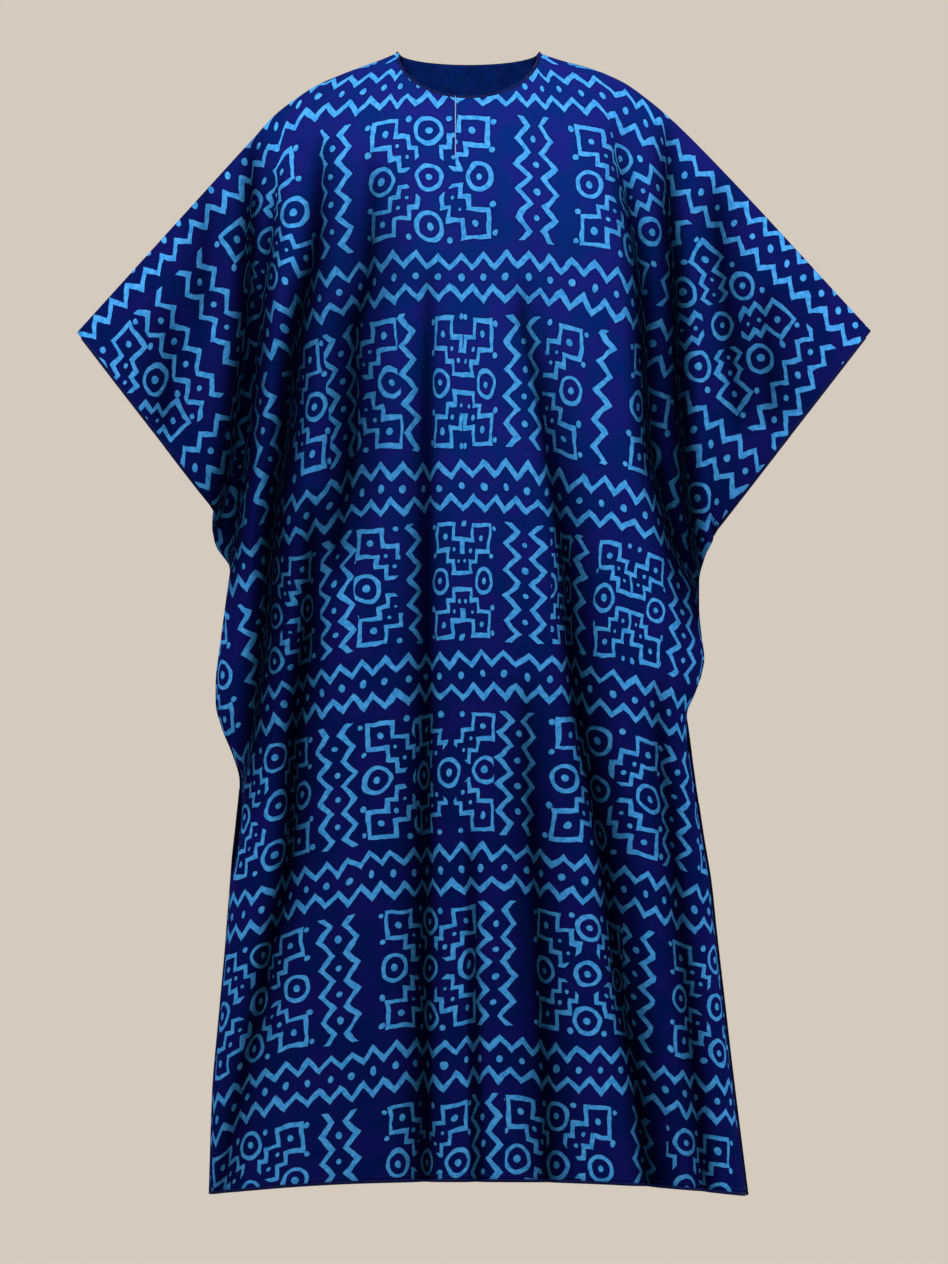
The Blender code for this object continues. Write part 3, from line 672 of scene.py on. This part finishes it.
def cloth_places(panel, bands, pleats):
    """Where each point lies in the print: millimetres across the flat cloth, and rows down it.

    Over the body the cloth is measured along its own folds, and its rows follow the bands. Beyond
    each pleat under an arm more of the cloth belongs to the sleeve, whose print is turned.
    """
    body = panel.blocks[0]
    where = panel.points[body] / MM
    across_step = np.hypot(np.diff(where[..., 0], axis=1), np.diff(where[..., 1], axis=1))
    middle = body.shape[1] // 2
    places = np.zeros((len(panel.points), 2))
    places[body, 0] = walk(across_step, middle) + where[:, middle:middle + 1, 0]
    places[body, 1] = body_rows(panel, bands)
    x = panel.points[:, 0] / MM
    for side in (0, 1):
        outward = (-1.0, 1.0)[side]
        share = np.zeros(len(x))
        for line_side, part, stations in pleats:
            if line_side == side:
                beyond = outward * (x - smooth_line(stations)(panel.drop))
                share += part * step_up(beyond, -PLEAT_SOFT, PLEAT_SOFT)
        share[panel.blocks[side + 1][:, 1:]] = 1.0
        places += (sleeve_places(panel, side) - places) * share[:, None]
    return places


def break_at_slit(panel, places):
    """The cloth right of the neck slit is sewn a little off, so its print doesn't meet the left's."""
    x = panel.points[:, 0] / MM
    right = (x > SLIT_X) * step_up(-x, -SLIT_X - SLIT_OFFSET_REACH, -SLIT_X)
    right = right * step_up(-panel.drop, -SLIT_END - SLIT_OFFSET_FADE, -SLIT_END)
    places[:, 0] += right * SLIT_OFFSET[0]
    places[:, 1] += right * SLIT_OFFSET[1] / ROW_REPEAT


def body_rows(panel, bands):
    """Rows of the print over the body: whole numbers on the zigzag bands, halves between them."""
    body = panel.blocks[0]
    x = panel.points[body, 0] / MM
    drop = panel.drop[body]
    offs = [drop - smooth_line(stations)(x) for stations in bands]
    rows = np.zeros(body.shape)
    for column in range(body.shape[1]):
        laid = panel.laid[:, column]
        at = [np.interp(0.0, off[:, column], laid) - max(off[0, column], 0.0) for off in offs]
        rows[:, column] = np.interp(laid, at, np.arange(len(at)))
        rows[:, column] += np.minimum(laid - at[0], 0.0) / ROW_REPEAT
        rows[:, column] += np.maximum(laid - at[-1], 0.0) / ROW_REPEAT
    return rows


def sleeve_places(panel, side):
    """The same for a sleeve, whose print slopes as one flat sheet beside the arm line."""
    outward = (-1.0, 1.0)[side]
    (set_x, set_drop), slope, lean, reach, above, below = SLEEVE_PRINT[side]
    out = outward * (panel.points[:, 0] / MM - set_x)
    down = panel.drop - set_drop
    angle = math.radians(slope)
    along = out * math.cos(angle) + down * math.sin(angle)
    under = down * math.cos(angle) - out * math.sin(angle)
    row = 0.5 + 0.5 * under / np.where(under < 0.0, above, below)
    return np.stack((outward * (reach + along - lean * under), row), axis=-1)


def wall_mesh(name, near, far, faces):
    """Close two layers of the same faces into one wall. far lies on the side the faces look to."""
    count = len(near)
    walls = [[index + count for index in face] for face in faces]
    walls += [face[::-1] for face in faces]
    used = set()
    for face in faces:
        used.update(zip(face, face[1:] + face[:1]))
    walls += [[a, b, b + count, a + count] for a, b in sorted(used) if (b, a) not in used]
    mesh = sheet_mesh(name, np.concatenate((near, far)), walls)
    mesh.shade_smooth()
    return mesh


def add_panel(name, node, panel, places, material):
    """One cloth shell, its outer side on the outer side of the solid it stands for."""
    far = panel.points + panel.normals * WALL * MM
    near = panel.points + panel.normals * (WALL - CLOTH) * MM
    mesh = wall_mesh(name, near, far, panel.faces)
    print_at = np.zeros((2 * len(places), 3))
    print_at[:, :2] = np.tile(places, (2, 1))
    print_at[len(places):, 2] = 1.0
    place = mesh.attributes.new("print_at", "FLOAT_VECTOR", "POINT")
    place.data.foreach_set("vector", print_at.ravel())
    # the painted shade of the fold valleys, which the cloth's material reads
    painted_shade = mesh.attributes.new("painted_shade", "FLOAT", "POINT")
    painted_shade.data.foreach_set("value", np.tile(panel.painted_shade, 2))
    return add_piece(name, mesh, material, node)


def edge_lines(panel):
    """Open edges of a panel: the edge's points, the points beside them, and where its stitches run."""
    body, left_sleeve, right_sleeve = panel.blocks
    left, neck, _ = GRID["columns"]
    first = int(np.argmax(panel.drop[body[:, 0]] > SLIT_TOP))
    lines = [(body[-1], body[-2], body[-2])]
    lines += [(body[first:, edge], body[first:, edge + step], body[first:, edge + 2 * step])
              for edge, step in ((0, 1), (-1, -1))]
    lines += [(block[-1, :-1], block[-2, :-1], block[-2, :-1]) for block in (left_sleeve, right_sleeve)]
    spans = [(left, left + neck + 1)]
    if panel.slit:
        column = panel.slit[0]
        spans = [(left, column + 1), (column + 1, left + neck + 1)]
    lines += [(body[0, a:b], body[1, a:b], body[NECK_STITCH_ROW, a:b]) for a, b in spans]
    return lines


def unit(vectors):
    return vectors / np.maximum(np.linalg.norm(vectors, axis=-1, keepdims=True), 1e-12)


def tube_faces(start, count, sides, other_way=False):
    """Faces of a tube with closed ends, of rings whose points are numbered from start."""
    faces = [[start + i for i in range(sides)][::-1],
             [start + (count - 1) * sides + i for i in range(sides)]]
    for row in range(count - 1):
        for i in range(sides):
            a = start + row * sides + i
            b = start + row * sides + (i + 1) % sides
            face = [a, b, b + sides, a + sides]
            faces.append([a, *face[:0:-1]] if other_way else face)
    return faces


def hem_mesh(name, panel):
    """Narrow turned hems along the open edges: a flat rounded roll that closes over the edge."""
    points, faces = [], []
    angles = np.linspace(0.0, 2.0 * math.pi, HEM_SIDES, endpoint=False)
    for edge, beside, _ in edge_lines(panel):
        middle = panel.points[edge] + panel.normals[edge] * (WALL - 0.5 * CLOTH) * MM
        normal = unit(panel.normals[edge])
        along = unit(np.gradient(middle, axis=0))
        inward = unit(panel.points[beside] - panel.points[edge])
        inward = unit(inward - (inward * along).sum(axis=1, keepdims=True) * along)
        normal = unit(normal - (normal * inward).sum(axis=1, keepdims=True) * inward)
        start = sum(len(ring) for ring in points)
        wide = inward[:, None] * np.cos(angles)[:, None] * HEM_HALF_WIDE
        thick = normal[:, None] * np.sin(angles)[:, None] * HEM_HALF_THICK
        rings = (middle + inward * HEM_INSET * MM)[:, None] + (wide + thick) * MM
        points.append(rings.reshape(-1, 3))
        flip = (np.cross(inward, normal) * along).sum() < 0.0
        loops = tube_faces(start, len(edge), HEM_SIDES)
        faces += [loop[::-1] for loop in loops] if flip else loops
    mesh = sheet_mesh(name, np.concatenate(points), faces)
    mesh.shade_smooth()
    return mesh


def add_stitches(line, normals, points, faces):
    """Small thread stitches along a line of surface points."""
    steps = np.linalg.norm(np.diff(line, axis=0), axis=1)
    walked = np.concatenate(([0.0], np.cumsum(steps)))
    places = np.arange(0.5 * STITCH_STEP, walked[-1] / MM - 0.5 * STITCH_STEP, STITCH_STEP) * MM
    at = np.stack([np.interp(places, walked, line[:, axis]) for axis in range(3)], axis=-1)
    up = unit(np.stack([np.interp(places, walked, normals[:, axis]) for axis in range(3)], axis=-1))
    along = unit(np.gradient(at, axis=0))
    side = unit(np.cross(up, along))
    corners = ((0, -STITCH_HALF), (1, STITCH_HALF_WIDE), (2, STITCH_HALF_HIGH),
               (1, -STITCH_HALF_WIDE), (2, -STITCH_HALF_HIGH), (0, STITCH_HALF))
    for place, *axes in zip(at, along, side, up):
        start = len(points)
        points += [place + axes[axis] * size * MM for axis, size in corners]
        for i in range(4):
            a, b = start + 1 + i, start + 1 + (i + 1) % 4
            faces.append([start, b, a])
            faces.append([start + 5, a, b])


def trim_panel(name, panel, hem_material, thread_material, facing=False):
    """The panel's hems, and the stitches that hold them."""
    mesh = hem_mesh(name + "_hems", panel)
    hems = add_piece(name + "_hems", mesh, hem_material)
    points, faces = [], []
    for _, _, line in edge_lines(panel):
        surface = panel.points[line] + panel.normals[line] * WALL * MM
        add_stitches(surface, panel.normals[line], points, faces)
    if facing:
        left, neck, _ = GRID["columns"]
        inset = FACING_INSET + 1
        line = panel.blocks[0][FACING_STITCH_ROW, left + inset:left + neck + 1 - inset]
        depth = WALL - CLOTH - FACING_GAP - FACING_CLOTH
        surface = panel.points[line] + panel.normals[line] * depth * MM
        add_stitches(surface, -panel.normals[line], points, faces)
    mesh = sheet_mesh(name + "_stitches", np.array(points), faces)
    stitches = add_piece(name + "_stitches", mesh, thread_material)
    return [hems, stitches]


def add_slit_edge(panel, material):
    """The pale edge that shows along the left side of the neck slit."""
    column, end = panel.slit
    line = panel.blocks[0][:end + 1, column]
    middle = panel.points[line] + panel.normals[line] * WALL * MM
    middle = middle + np.array((SLIT_WIDTH * 0.5 * MM, 0.0, 0.0))
    angles = np.linspace(0.0, 2.0 * math.pi, SLIT_EDGE_SIDES, endpoint=False)
    ring = np.stack((np.cos(angles), np.sin(angles), 0.0 * angles), axis=-1) * SLIT_EDGE_RADIUS * MM
    points = (middle[:, None] + ring).reshape(-1, 3)
    faces = tube_faces(0, len(line), SLIT_EDGE_SIDES, other_way=True)
    return add_piece("slit_edge", sheet_mesh("slit_edge", points, faces), material)


class Field:
    """A number that a material works out at each place, written with ordinary arithmetic."""

    def __init__(self, tree, socket):
        self.tree = tree
        self.socket = socket

    def math(self, operation, *others):
        node = self.tree.nodes.new("ShaderNodeMath")
        node.operation = operation
        for slot, value in zip(node.inputs, (self,) + others):
            if isinstance(value, Field):
                self.tree.links.new(value.socket, slot)
            else:
                slot.default_value = value
        return Field(self.tree, node.outputs[0])

    def __add__(self, other):
        return self.math("ADD", other)

    def __sub__(self, other):
        return self.math("SUBTRACT", other)

    def __mul__(self, other):
        return self.math("MULTIPLY", other)

    def __truediv__(self, other):
        return self.math("DIVIDE", other)

    def abs(self):
        return self.math("ABSOLUTE")

    def least(self, other):
        return self.math("MINIMUM", other)

    def most(self, other):
        return self.math("MAXIMUM", other)

    def wave(self, period):
        """Zigzag from 0 to half a period and back."""
        return self.math("PINGPONG", 0.5 * period)

    def length(self, other):
        return (self * self + other * other).math("SQRT")

    def fade(self, start, end):
        """1 at start and 0 at end, smooth between, whichever is greater."""
        node = self.tree.nodes.new("ShaderNodeMapRange")
        node.interpolation_type = "SMOOTHSTEP"
        self.tree.links.new(self.socket, node.inputs["Value"])
        low, high = min(start, end), max(start, end)
        node.inputs["From Min"].default_value = low
        node.inputs["From Max"].default_value = high
        node.inputs["To Min"].default_value = 1.0 if start < end else 0.0
        node.inputs["To Max"].default_value = 0.0 if start < end else 1.0
        return Field(self.tree, node.outputs["Result"])


def new_material(name):
    material = bpy.data.materials.new(name)
    material.use_nodes = True
    return material, material.node_tree, material.node_tree.nodes["Principled BSDF"]


def add_node(tree, kind, links=None, **values):
    """A node with its options, and its inputs by name from numbers or sockets."""
    node = tree.nodes.new(kind)
    for key, value in values.items():
        setattr(node, key, value)
    for key, value in (links or {}).items():
        if isinstance(value, Field):
            value = value.socket
        if isinstance(value, bpy.types.NodeSocket):
            tree.links.new(value, node.inputs[key])
        else:
            node.inputs[key].default_value = value
    return node


def noise(tree, vector, scale, detail):
    return add_node(tree, "ShaderNodeTexNoise", {"Vector": vector, "Scale": scale, "Detail": detail})


def uneven(tree, vector, scale, detail):
    """A smooth random number about a half, at each place."""
    return Field(tree, noise(tree, vector, scale, detail).outputs["Fac"])


def split(tree, kind, socket):
    """The three numbers of a vector or a colour."""
    node = tree.nodes.new(kind)
    tree.links.new(socket, node.inputs[0])
    return [Field(tree, output) for output in node.outputs]


def whole_row(start, cells):
    """Cells of a row from end to end of the cloth, with regular ones beyond those that are given."""
    row = [(start, *cells[0][:3])]
    for (_, _, _, end), cell in zip(cells, cells[1:]):
        row.append((end, *cell[:3]))
    for outward, place, kind in ((-1.0, start, cells[0][0]), (1.0, cells[-1][3], cells[-1][0])):
        while abs(place) < PRINT_REACH and len(row) < RAMP_STOPS:
            kind = "pair" if kind == "keys" else "keys"
            width = OUTER_WIDTHS[kind]
            far = place + outward * width
            row.append((min(place, far), kind, 0.5 * (place + far), KEY_HALF))
            place = far
    return sorted(row)


def cell_of_row(tree, across, row_number):
    """Middle, half width and kind of the print's cell at a place, from the rows' own layouts."""
    share = (across + PRINT_REACH) / (2.0 * PRINT_REACH)
    chosen = None
    for number, (start, cells) in sorted(PRINT_ROWS.items()):
        ramp = tree.nodes.new("ShaderNodeValToRGB")
        ramp.color_ramp.interpolation = "CONSTANT"
        tree.links.new(share.socket, ramp.inputs["Fac"])
        elements = ramp.color_ramp.elements
        stops = []
        for place, kind, middle, half in whole_row(start, cells):
            place = max(place, -PRINT_REACH)
            colour = (0.5 + 0.5 * middle / PRINT_REACH, half / PRINT_REACH, CELL_KINDS[kind], 1.0)
            stops.append((0.5 + 0.5 * place / PRINT_REACH, colour))
        while len(elements) < len(stops):
            elements.new(1.0)
        for element, stop in zip(elements, stops):
            element.position = stop[0]
        for element, stop in zip(elements, stops):
            element.color = stop[1]
        if chosen is None:
            chosen = ramp.outputs["Color"]
        else:
            here = row_number.math("COMPARE", float(number), 0.5)
            chosen = mix_colour(tree, here, chosen, ramp.outputs["Color"])
    middle, half, kind = split(tree, "ShaderNodeSeparateColor", chosen)
    return middle * (2.0 * PRINT_REACH) - PRINT_REACH, half * PRINT_REACH, kind


def zigzag(wave, period, swing):
    """A zigzag's swing at each place, and what makes a level distance from it a square one."""
    slope = 4.0 * swing / period
    return wave * slope - swing, 1.0 / math.hypot(1.0, slope)


def band_lines(across, down):
    """Two facing zigzag lines with dots in the wide places: distance to the nearest edge."""
    wave = across.wave(BAND_PERIOD)
    swing, slant = zigzag(wave, BAND_PERIOD, BAND_SWING)
    line = (down.abs() - swing - BAND_HALF).abs() * slant - LINE_HALF
    dot = (wave - 0.5 * BAND_PERIOD).length(down * BAND_DOT_SQUASH) - BAND_DOT
    return line.least(dot)


def pair_lines(x, y):
    """A standing pair of zigzag lines with dots in the wide places."""
    wave = y.wave(PAIR_PERIOD)
    swing, slant = zigzag(wave, PAIR_PERIOD, PAIR_SWING)
    line = (x.abs() - swing - PAIR_HALF).abs() * slant - LINE_HALF
    dot = (wave - 0.5 * PAIR_PERIOD).length(x) - PAIR_DOT
    return line.most(y.abs() - PAIR_REACH).least(dot.most(y.abs() - PAIR_REACH))


def single_line(x, y):
    """One standing zigzag line."""
    wave = (y + 0.25 * PAIR_PERIOD).wave(PAIR_PERIOD)
    swing, slant = zigzag(wave, PAIR_PERIOD, PAIR_SWING)
    return ((x - swing).abs() * slant - LINE_HALF).most(y.abs() - PAIR_REACH)


def box_edge(x, y, centre, half):
    return ((x - centre[0]).abs() - half[0]).most((y - centre[1]).abs() - half[1])


def key_panel(x, y, half):
    """Four stepped keys about a middle, with rings and dots between them."""
    narrow = half.fade(NARROW_HALF, NARROW_HALF + 1.0) * FAR
    crowded = half.fade(CROWDED_HALF, CROWDED_HALF + 1.0) * FAR
    spare = half * -1.0 + KEY_HALF
    squeeze = spare * -KEY_SQUEEZE + 1.0
    wide = (x.abs() + spare * KEY_SHIFT) / squeeze
    across = x.abs() / squeeze
    down = y.abs()
    outline = None
    for centre, size in KEY_BOXES:
        edge = box_edge(wide, down, centre, size)
        outline = edge if outline is None else outline.least(edge)
    outline = outline.abs() - KEY_LINE
    result = outline.most((across + down + narrow) * -KEY_TAIL_SLANT + KEY_TAIL_CUT)
    for place, radius in KEY_DOTS:
        result = result.least((wide - place[0]).length(down - place[1]) - radius)
    for place in RINGS:
        if place[0] == 0.0:
            off = across.length(down - place[1]) + (crowded if place[1] else narrow)
        else:
            off = (wide - place[0]).length(down - place[1])
        result = result.least((off - RING_RADIUS).abs() - RING_LINE)
        result = result.least(off - RING_DOT)
    return result


def print_distance(tree, across, row):
    """Distance in millimetres to the nearest printed edge, negative on the print."""
    nearest = (row + 0.5).math("FLOOR")
    band = band_lines(across, (row - nearest) * ROW_REPEAT)
    number = row.math("FLOOR")
    y = (row - number - 0.5) * ROW_REPEAT
    centre, half, kind = cell_of_row(tree, across, number)
    x = across - centre
    motifs = {"pair": pair_lines(x, y), "keys": key_panel(x, y, half), "single": single_line(x, y)}
    distance = band
    for name, motif in motifs.items():
        here = kind.math("COMPARE", CELL_KINDS[name], KIND_REACH)
        distance = distance.least(motif + (here * -FAR + FAR))
    return distance


def printed_cloth():
    """Satin cotton: navy ground with a violet cast, painted lighter about the chest and darker away
    from it, and with painted shade in the fold valleys; azure print with a resist edge, fine weave.
    """
    material, tree, shader = new_material("printed_cloth")
    at = add_node(tree, "ShaderNodeAttribute", attribute_type="GEOMETRY", attribute_name="print_at")
    across, row, outside = split(tree, "ShaderNodeSeparateXYZ", at.outputs["Vector"])
    flat = add_node(tree, "ShaderNodeCombineXYZ", {"X": across, "Y": row * ROW_REPEAT, "Z": 0.0})
    flat = flat.outputs["Vector"]
    broad, small = [split(tree, "ShaderNodeSeparateColor", noise(tree, flat, *grain).outputs["Color"])
                    for grain in (BROAD_NOISE, SMALL_NOISE)]
    sway = []
    for wide, fine in zip(broad[:2], small):
        lean = wide * (2.0 * BROAD_WOBBLE) - BROAD_WOBBLE
        sway.append(lean + fine * (2.0 * SMALL_WOBBLE) - SMALL_WOBBLE)
    distance = print_distance(tree, across + sway[0], row + sway[1] / ROW_REPEAT)
    distance = distance + (small[2] - 0.5) * LINE_UNEVEN
    mask = distance.fade(*PRINT_EDGE)
    rim = distance.fade(*RIM_REACH)
    patch = uneven(tree, flat, *PATCH_NOISE)
    high = mix_colour(tree, patch.fade(*PATCH_EDGE), VIOLET_PAINTED_LIT, GROUND_PAINTED_LIT)
    low = mix_colour(tree, patch.fade(*PATCH_EDGE), VIOLET_PAINTED_DIM, GROUND_PAINTED_DIM)
    # Painted light: the ground is painted lighter about the chest and darker away from it, toward the
    # hem and the sleeves
    object_place = add_node(tree, "ShaderNodeTexCoord").outputs["Object"]
    x, _, z = split(tree, "ShaderNodeSeparateXYZ", object_place)
    from_painted_glow = (x - PAINTED_GLOW_CENTRE[0]).length((z - PAINTED_GLOW_CENTRE[1]) * PAINTED_GLOW_SQUASH)
    ground = mix_colour(tree, from_painted_glow.fade(*PAINTED_GLOW_REACH), low, high)
    ground = mix_colour(tree, rim * RIM_SHARE, ground, RIM)
    ink = uneven(tree, flat, *INK_NOISE)
    azure = mix_colour(tree, ink.fade(*INK_EDGE), AZURE_LIGHT, AZURE)
    shown = mask * (outside * (1.0 - INSIDE_PRINT) + INSIDE_PRINT)
    colour = mix_colour(tree, shown, ground, azure)
    # Painted shade: the colour is darkened toward black in the fold valleys, more where they are deeper
    painted_shade = add_node(tree, "ShaderNodeAttribute", attribute_type="GEOMETRY", attribute_name="painted_shade")
    painted_shade = Field(tree, painted_shade.outputs["Fac"])
    dark = mix_colour(tree, painted_shade * HOLLOW_SHADE, (1.0, 1.0, 1.0), (0.0, 0.0, 0.0))
    colour = mix_colour(tree, 1.0, colour, dark, blend="MULTIPLY")
    tree.links.new(colour, shader.inputs["Base Color"])
    rough = patch * PATCH_ROUGHNESS + mask * INK_ROUGHNESS + PRINTED_ROUGHNESS
    tree.links.new(rough.socket, shader.inputs["Roughness"])
    shader.inputs["Specular IOR Level"].default_value = 0.0
    shader.inputs["Sheen Weight"].default_value = 0.02
    shader.inputs["Sheen Roughness"].default_value = 0.45
    shader.inputs["Sheen Tint"].default_value = (0.16, 0.14, 0.85, 1.0)
    warp = across.wave(THREAD) / THREAD
    weft = (row * ROW_REPEAT).wave(THREAD) / THREAD
    height = (warp + weft) * WEAVE_HEIGHT + uneven(tree, flat, *SLUB_NOISE) * SLUB_HEIGHT
    add_bump(tree, shader, height, 0.25, 0.0006)
    return material


def add_bump(tree, shader, height, strength, distance):
    bump = add_node(tree, "ShaderNodeBump", {"Height": height, "Strength": strength,
                                             "Distance": distance})
    tree.links.new(bump.outputs["Normal"], shader.inputs["Normal"])


def mix_colour(tree, share, first, second, blend="MIX"):
    """first where share is 0 and second where it is 1; each is a colour or a socket."""
    node = tree.nodes.new("ShaderNodeMix")
    node.data_type = "RGBA"
    node.blend_type = blend
    slots = [slot for slot in node.inputs if slot.enabled]
    for slot, value in zip(slots, (share, first, second)):
        if isinstance(value, Field):
            value = value.socket
        if isinstance(value, bpy.types.NodeSocket):
            tree.links.new(value, slot)
        elif isinstance(value, tuple) and len(value) == 3:
            slot.default_value = (*value, 1.0)
        else:
            slot.default_value = value
    return [slot for slot in node.outputs if slot.enabled][0]


def plain_cloth(name, colour, roughness, grain):
    """Plain dyed cotton, with a little unevenness and a fine weave."""
    material, tree, shader = new_material(name)
    where = add_node(tree, "ShaderNodeTexCoord").outputs["Object"]
    dye = uneven(tree, where, *DYE_NOISE).fade(*PLAIN_EDGE)
    deep = tuple(DEEP_DYE * part for part in colour)
    tree.links.new(mix_colour(tree, dye, colour, deep), shader.inputs["Base Color"])
    shader.inputs["Roughness"].default_value = roughness
    shader.inputs["Specular IOR Level"].default_value = 0.05
    add_bump(tree, shader, uneven(tree, where, grain, 3.0), 0.3, 0.0004)
    return material


def add_facing(panel, material):
    """The plain facing inside the back neck, from the back panel's points moved inwards."""
    left, neck, _ = GRID["columns"]
    shares = upper_shares(GRID["upper"])
    rows = int(np.searchsorted(shares, FACING_END))
    body = panel.blocks[0]
    patch = body[:rows + 1, left + FACING_INSET:left + neck + 1 - FACING_INSET]
    numbers = patch.ravel()
    normals = normals_of(panel.points, panel.faces)[numbers]
    inner = panel.points[numbers] + normals * (WALL - CLOTH) * MM
    far = inner - normals * FACING_GAP * MM
    near = inner - normals * (FACING_GAP + FACING_CLOTH) * MM
    count = patch.shape[1]
    faces = []
    for row in range(rows):
        for column in range(count - 1):
            a = row * count + column
            faces.append([a, a + 1, a + count + 1, a + count])
    mesh = wall_mesh("neck_facing", near, far, faces)
    return add_piece("neck_facing", mesh, material, "back_neck_facing")


def add_floor():
    mesh = bpy.data.meshes.new("floor")
    disc = bmesh.new()
    bmesh.ops.create_circle(disc, cap_ends=True, segments=96, radius=FLOOR_RADIUS)
    disc.to_mesh(mesh)
    disc.free()
    floor = link("floor", mesh)
    floor.location.z = FLOOR_LEVEL
    material, tree, shader = new_material("floor")
    where = add_node(tree, "ShaderNodeTexCoord").outputs["Object"]
    patch = uneven(tree, where, *FLOOR_NOISE).fade(*FLOOR_EDGE)
    shade = tuple(FLOOR_SHADE * part for part in FLOOR_COLOUR)
    tree.links.new(mix_colour(tree, patch, FLOOR_COLOUR, shade), shader.inputs["Base Color"])
    x, y, _ = split(tree, "ShaderNodeSeparateXYZ", where)
    tree.links.new(x.length(y).fade(*FLOOR_FADE).socket, shader.inputs["Alpha"])
    shader.inputs["Roughness"].default_value = 0.9
    mesh.materials.append(material)


def add_light(name, place, aim, size, power, colour):
    data = bpy.data.lights.new(name, "AREA")
    data.shape = "RECTANGLE"
    data.size, data.size_y = size
    data.energy = power
    data.color = colour
    lamp = link(name, data)
    lamp.location = place
    lamp.rotation_euler = (Vector(aim) - Vector(place)).to_track_quat("-Z", "Y").to_euler()


def add_world():
    world = bpy.data.worlds.new("studio")
    world.use_nodes = True
    bpy.context.scene.world = world
    tree = world.node_tree
    back = tree.nodes["Background"]
    ray = tree.nodes.new("ShaderNodeLightPath")
    seen = Field(tree, ray.outputs["Is Camera Ray"])
    tree.links.new(mix_colour(tree, seen, FILL_COLOUR, BACKDROP_COLOUR), back.inputs["Color"])


def add_camera():
    data = bpy.data.cameras.new("camera")
    data.sensor_width = SENSOR
    data.lens = SENSOR * CAMERA_DISTANCE / VIEW_HEIGHT
    data.clip_end = 200.0
    camera = link("camera", data)
    camera.location = (VIEW_CENTRE[0], -CAMERA_DISTANCE, VIEW_CENTRE[1])
    camera.rotation_euler = (0.5 * math.pi, 0.0, 0.0)
    bpy.context.scene.camera = camera


add_camera()
bpy.context.scene.view_settings.view_transform = "Standard"
add_world()
add_floor()
for light in LIGHTS:
    add_light(*light)
cloth = printed_cloth()
front = Panel(GRID, FRONT_NECK_DROP, (LEFT_SIDE, RIGHT_SIDE), front_depth_line, FRONT_FOLDS, -1.0)
back = Panel(GRID, BACK_NECK_DROP, (LEFT_SIDE_BACK, RIGHT_SIDE_BACK), back_depth_line, BACK_FOLDS, 1.0)
front_places = cloth_places(front, FRONT_BANDS, pleat_lines(FRONT_FOLDS, FRONT_PLEATS))
break_at_slit(front, front_places)
back_places = cloth_places(back, BACK_BANDS, pleat_lines(BACK_FOLDS, BACK_PLEATS))
back_places = back_places * (-1.0, 1.0) + (BACK_SHIFT, 0.0)
front_cloth = add_panel("front_cloth", "front_panel", front, front_places, cloth)
back_cloth = add_panel("back_cloth", "back_panel", back, back_places, cloth)
facing = add_facing(back, plain_cloth("facing_cloth", FACING_COLOUR, 0.55, 2500.0))
hem_cloth = plain_cloth("hem_cloth", HEM_COLOUR, 0.6, 2500.0)
thread = plain_cloth("thread", THREAD_COLOUR, 0.5, 4000.0)
front_trim = trim_panel("front", front, hem_cloth, thread)
front_trim.append(add_slit_edge(front, plain_cloth("pale_thread", PALE_THREAD, 0.6, 4000.0)))
back_trim = trim_panel("back", back, hem_cloth, thread, facing=True)
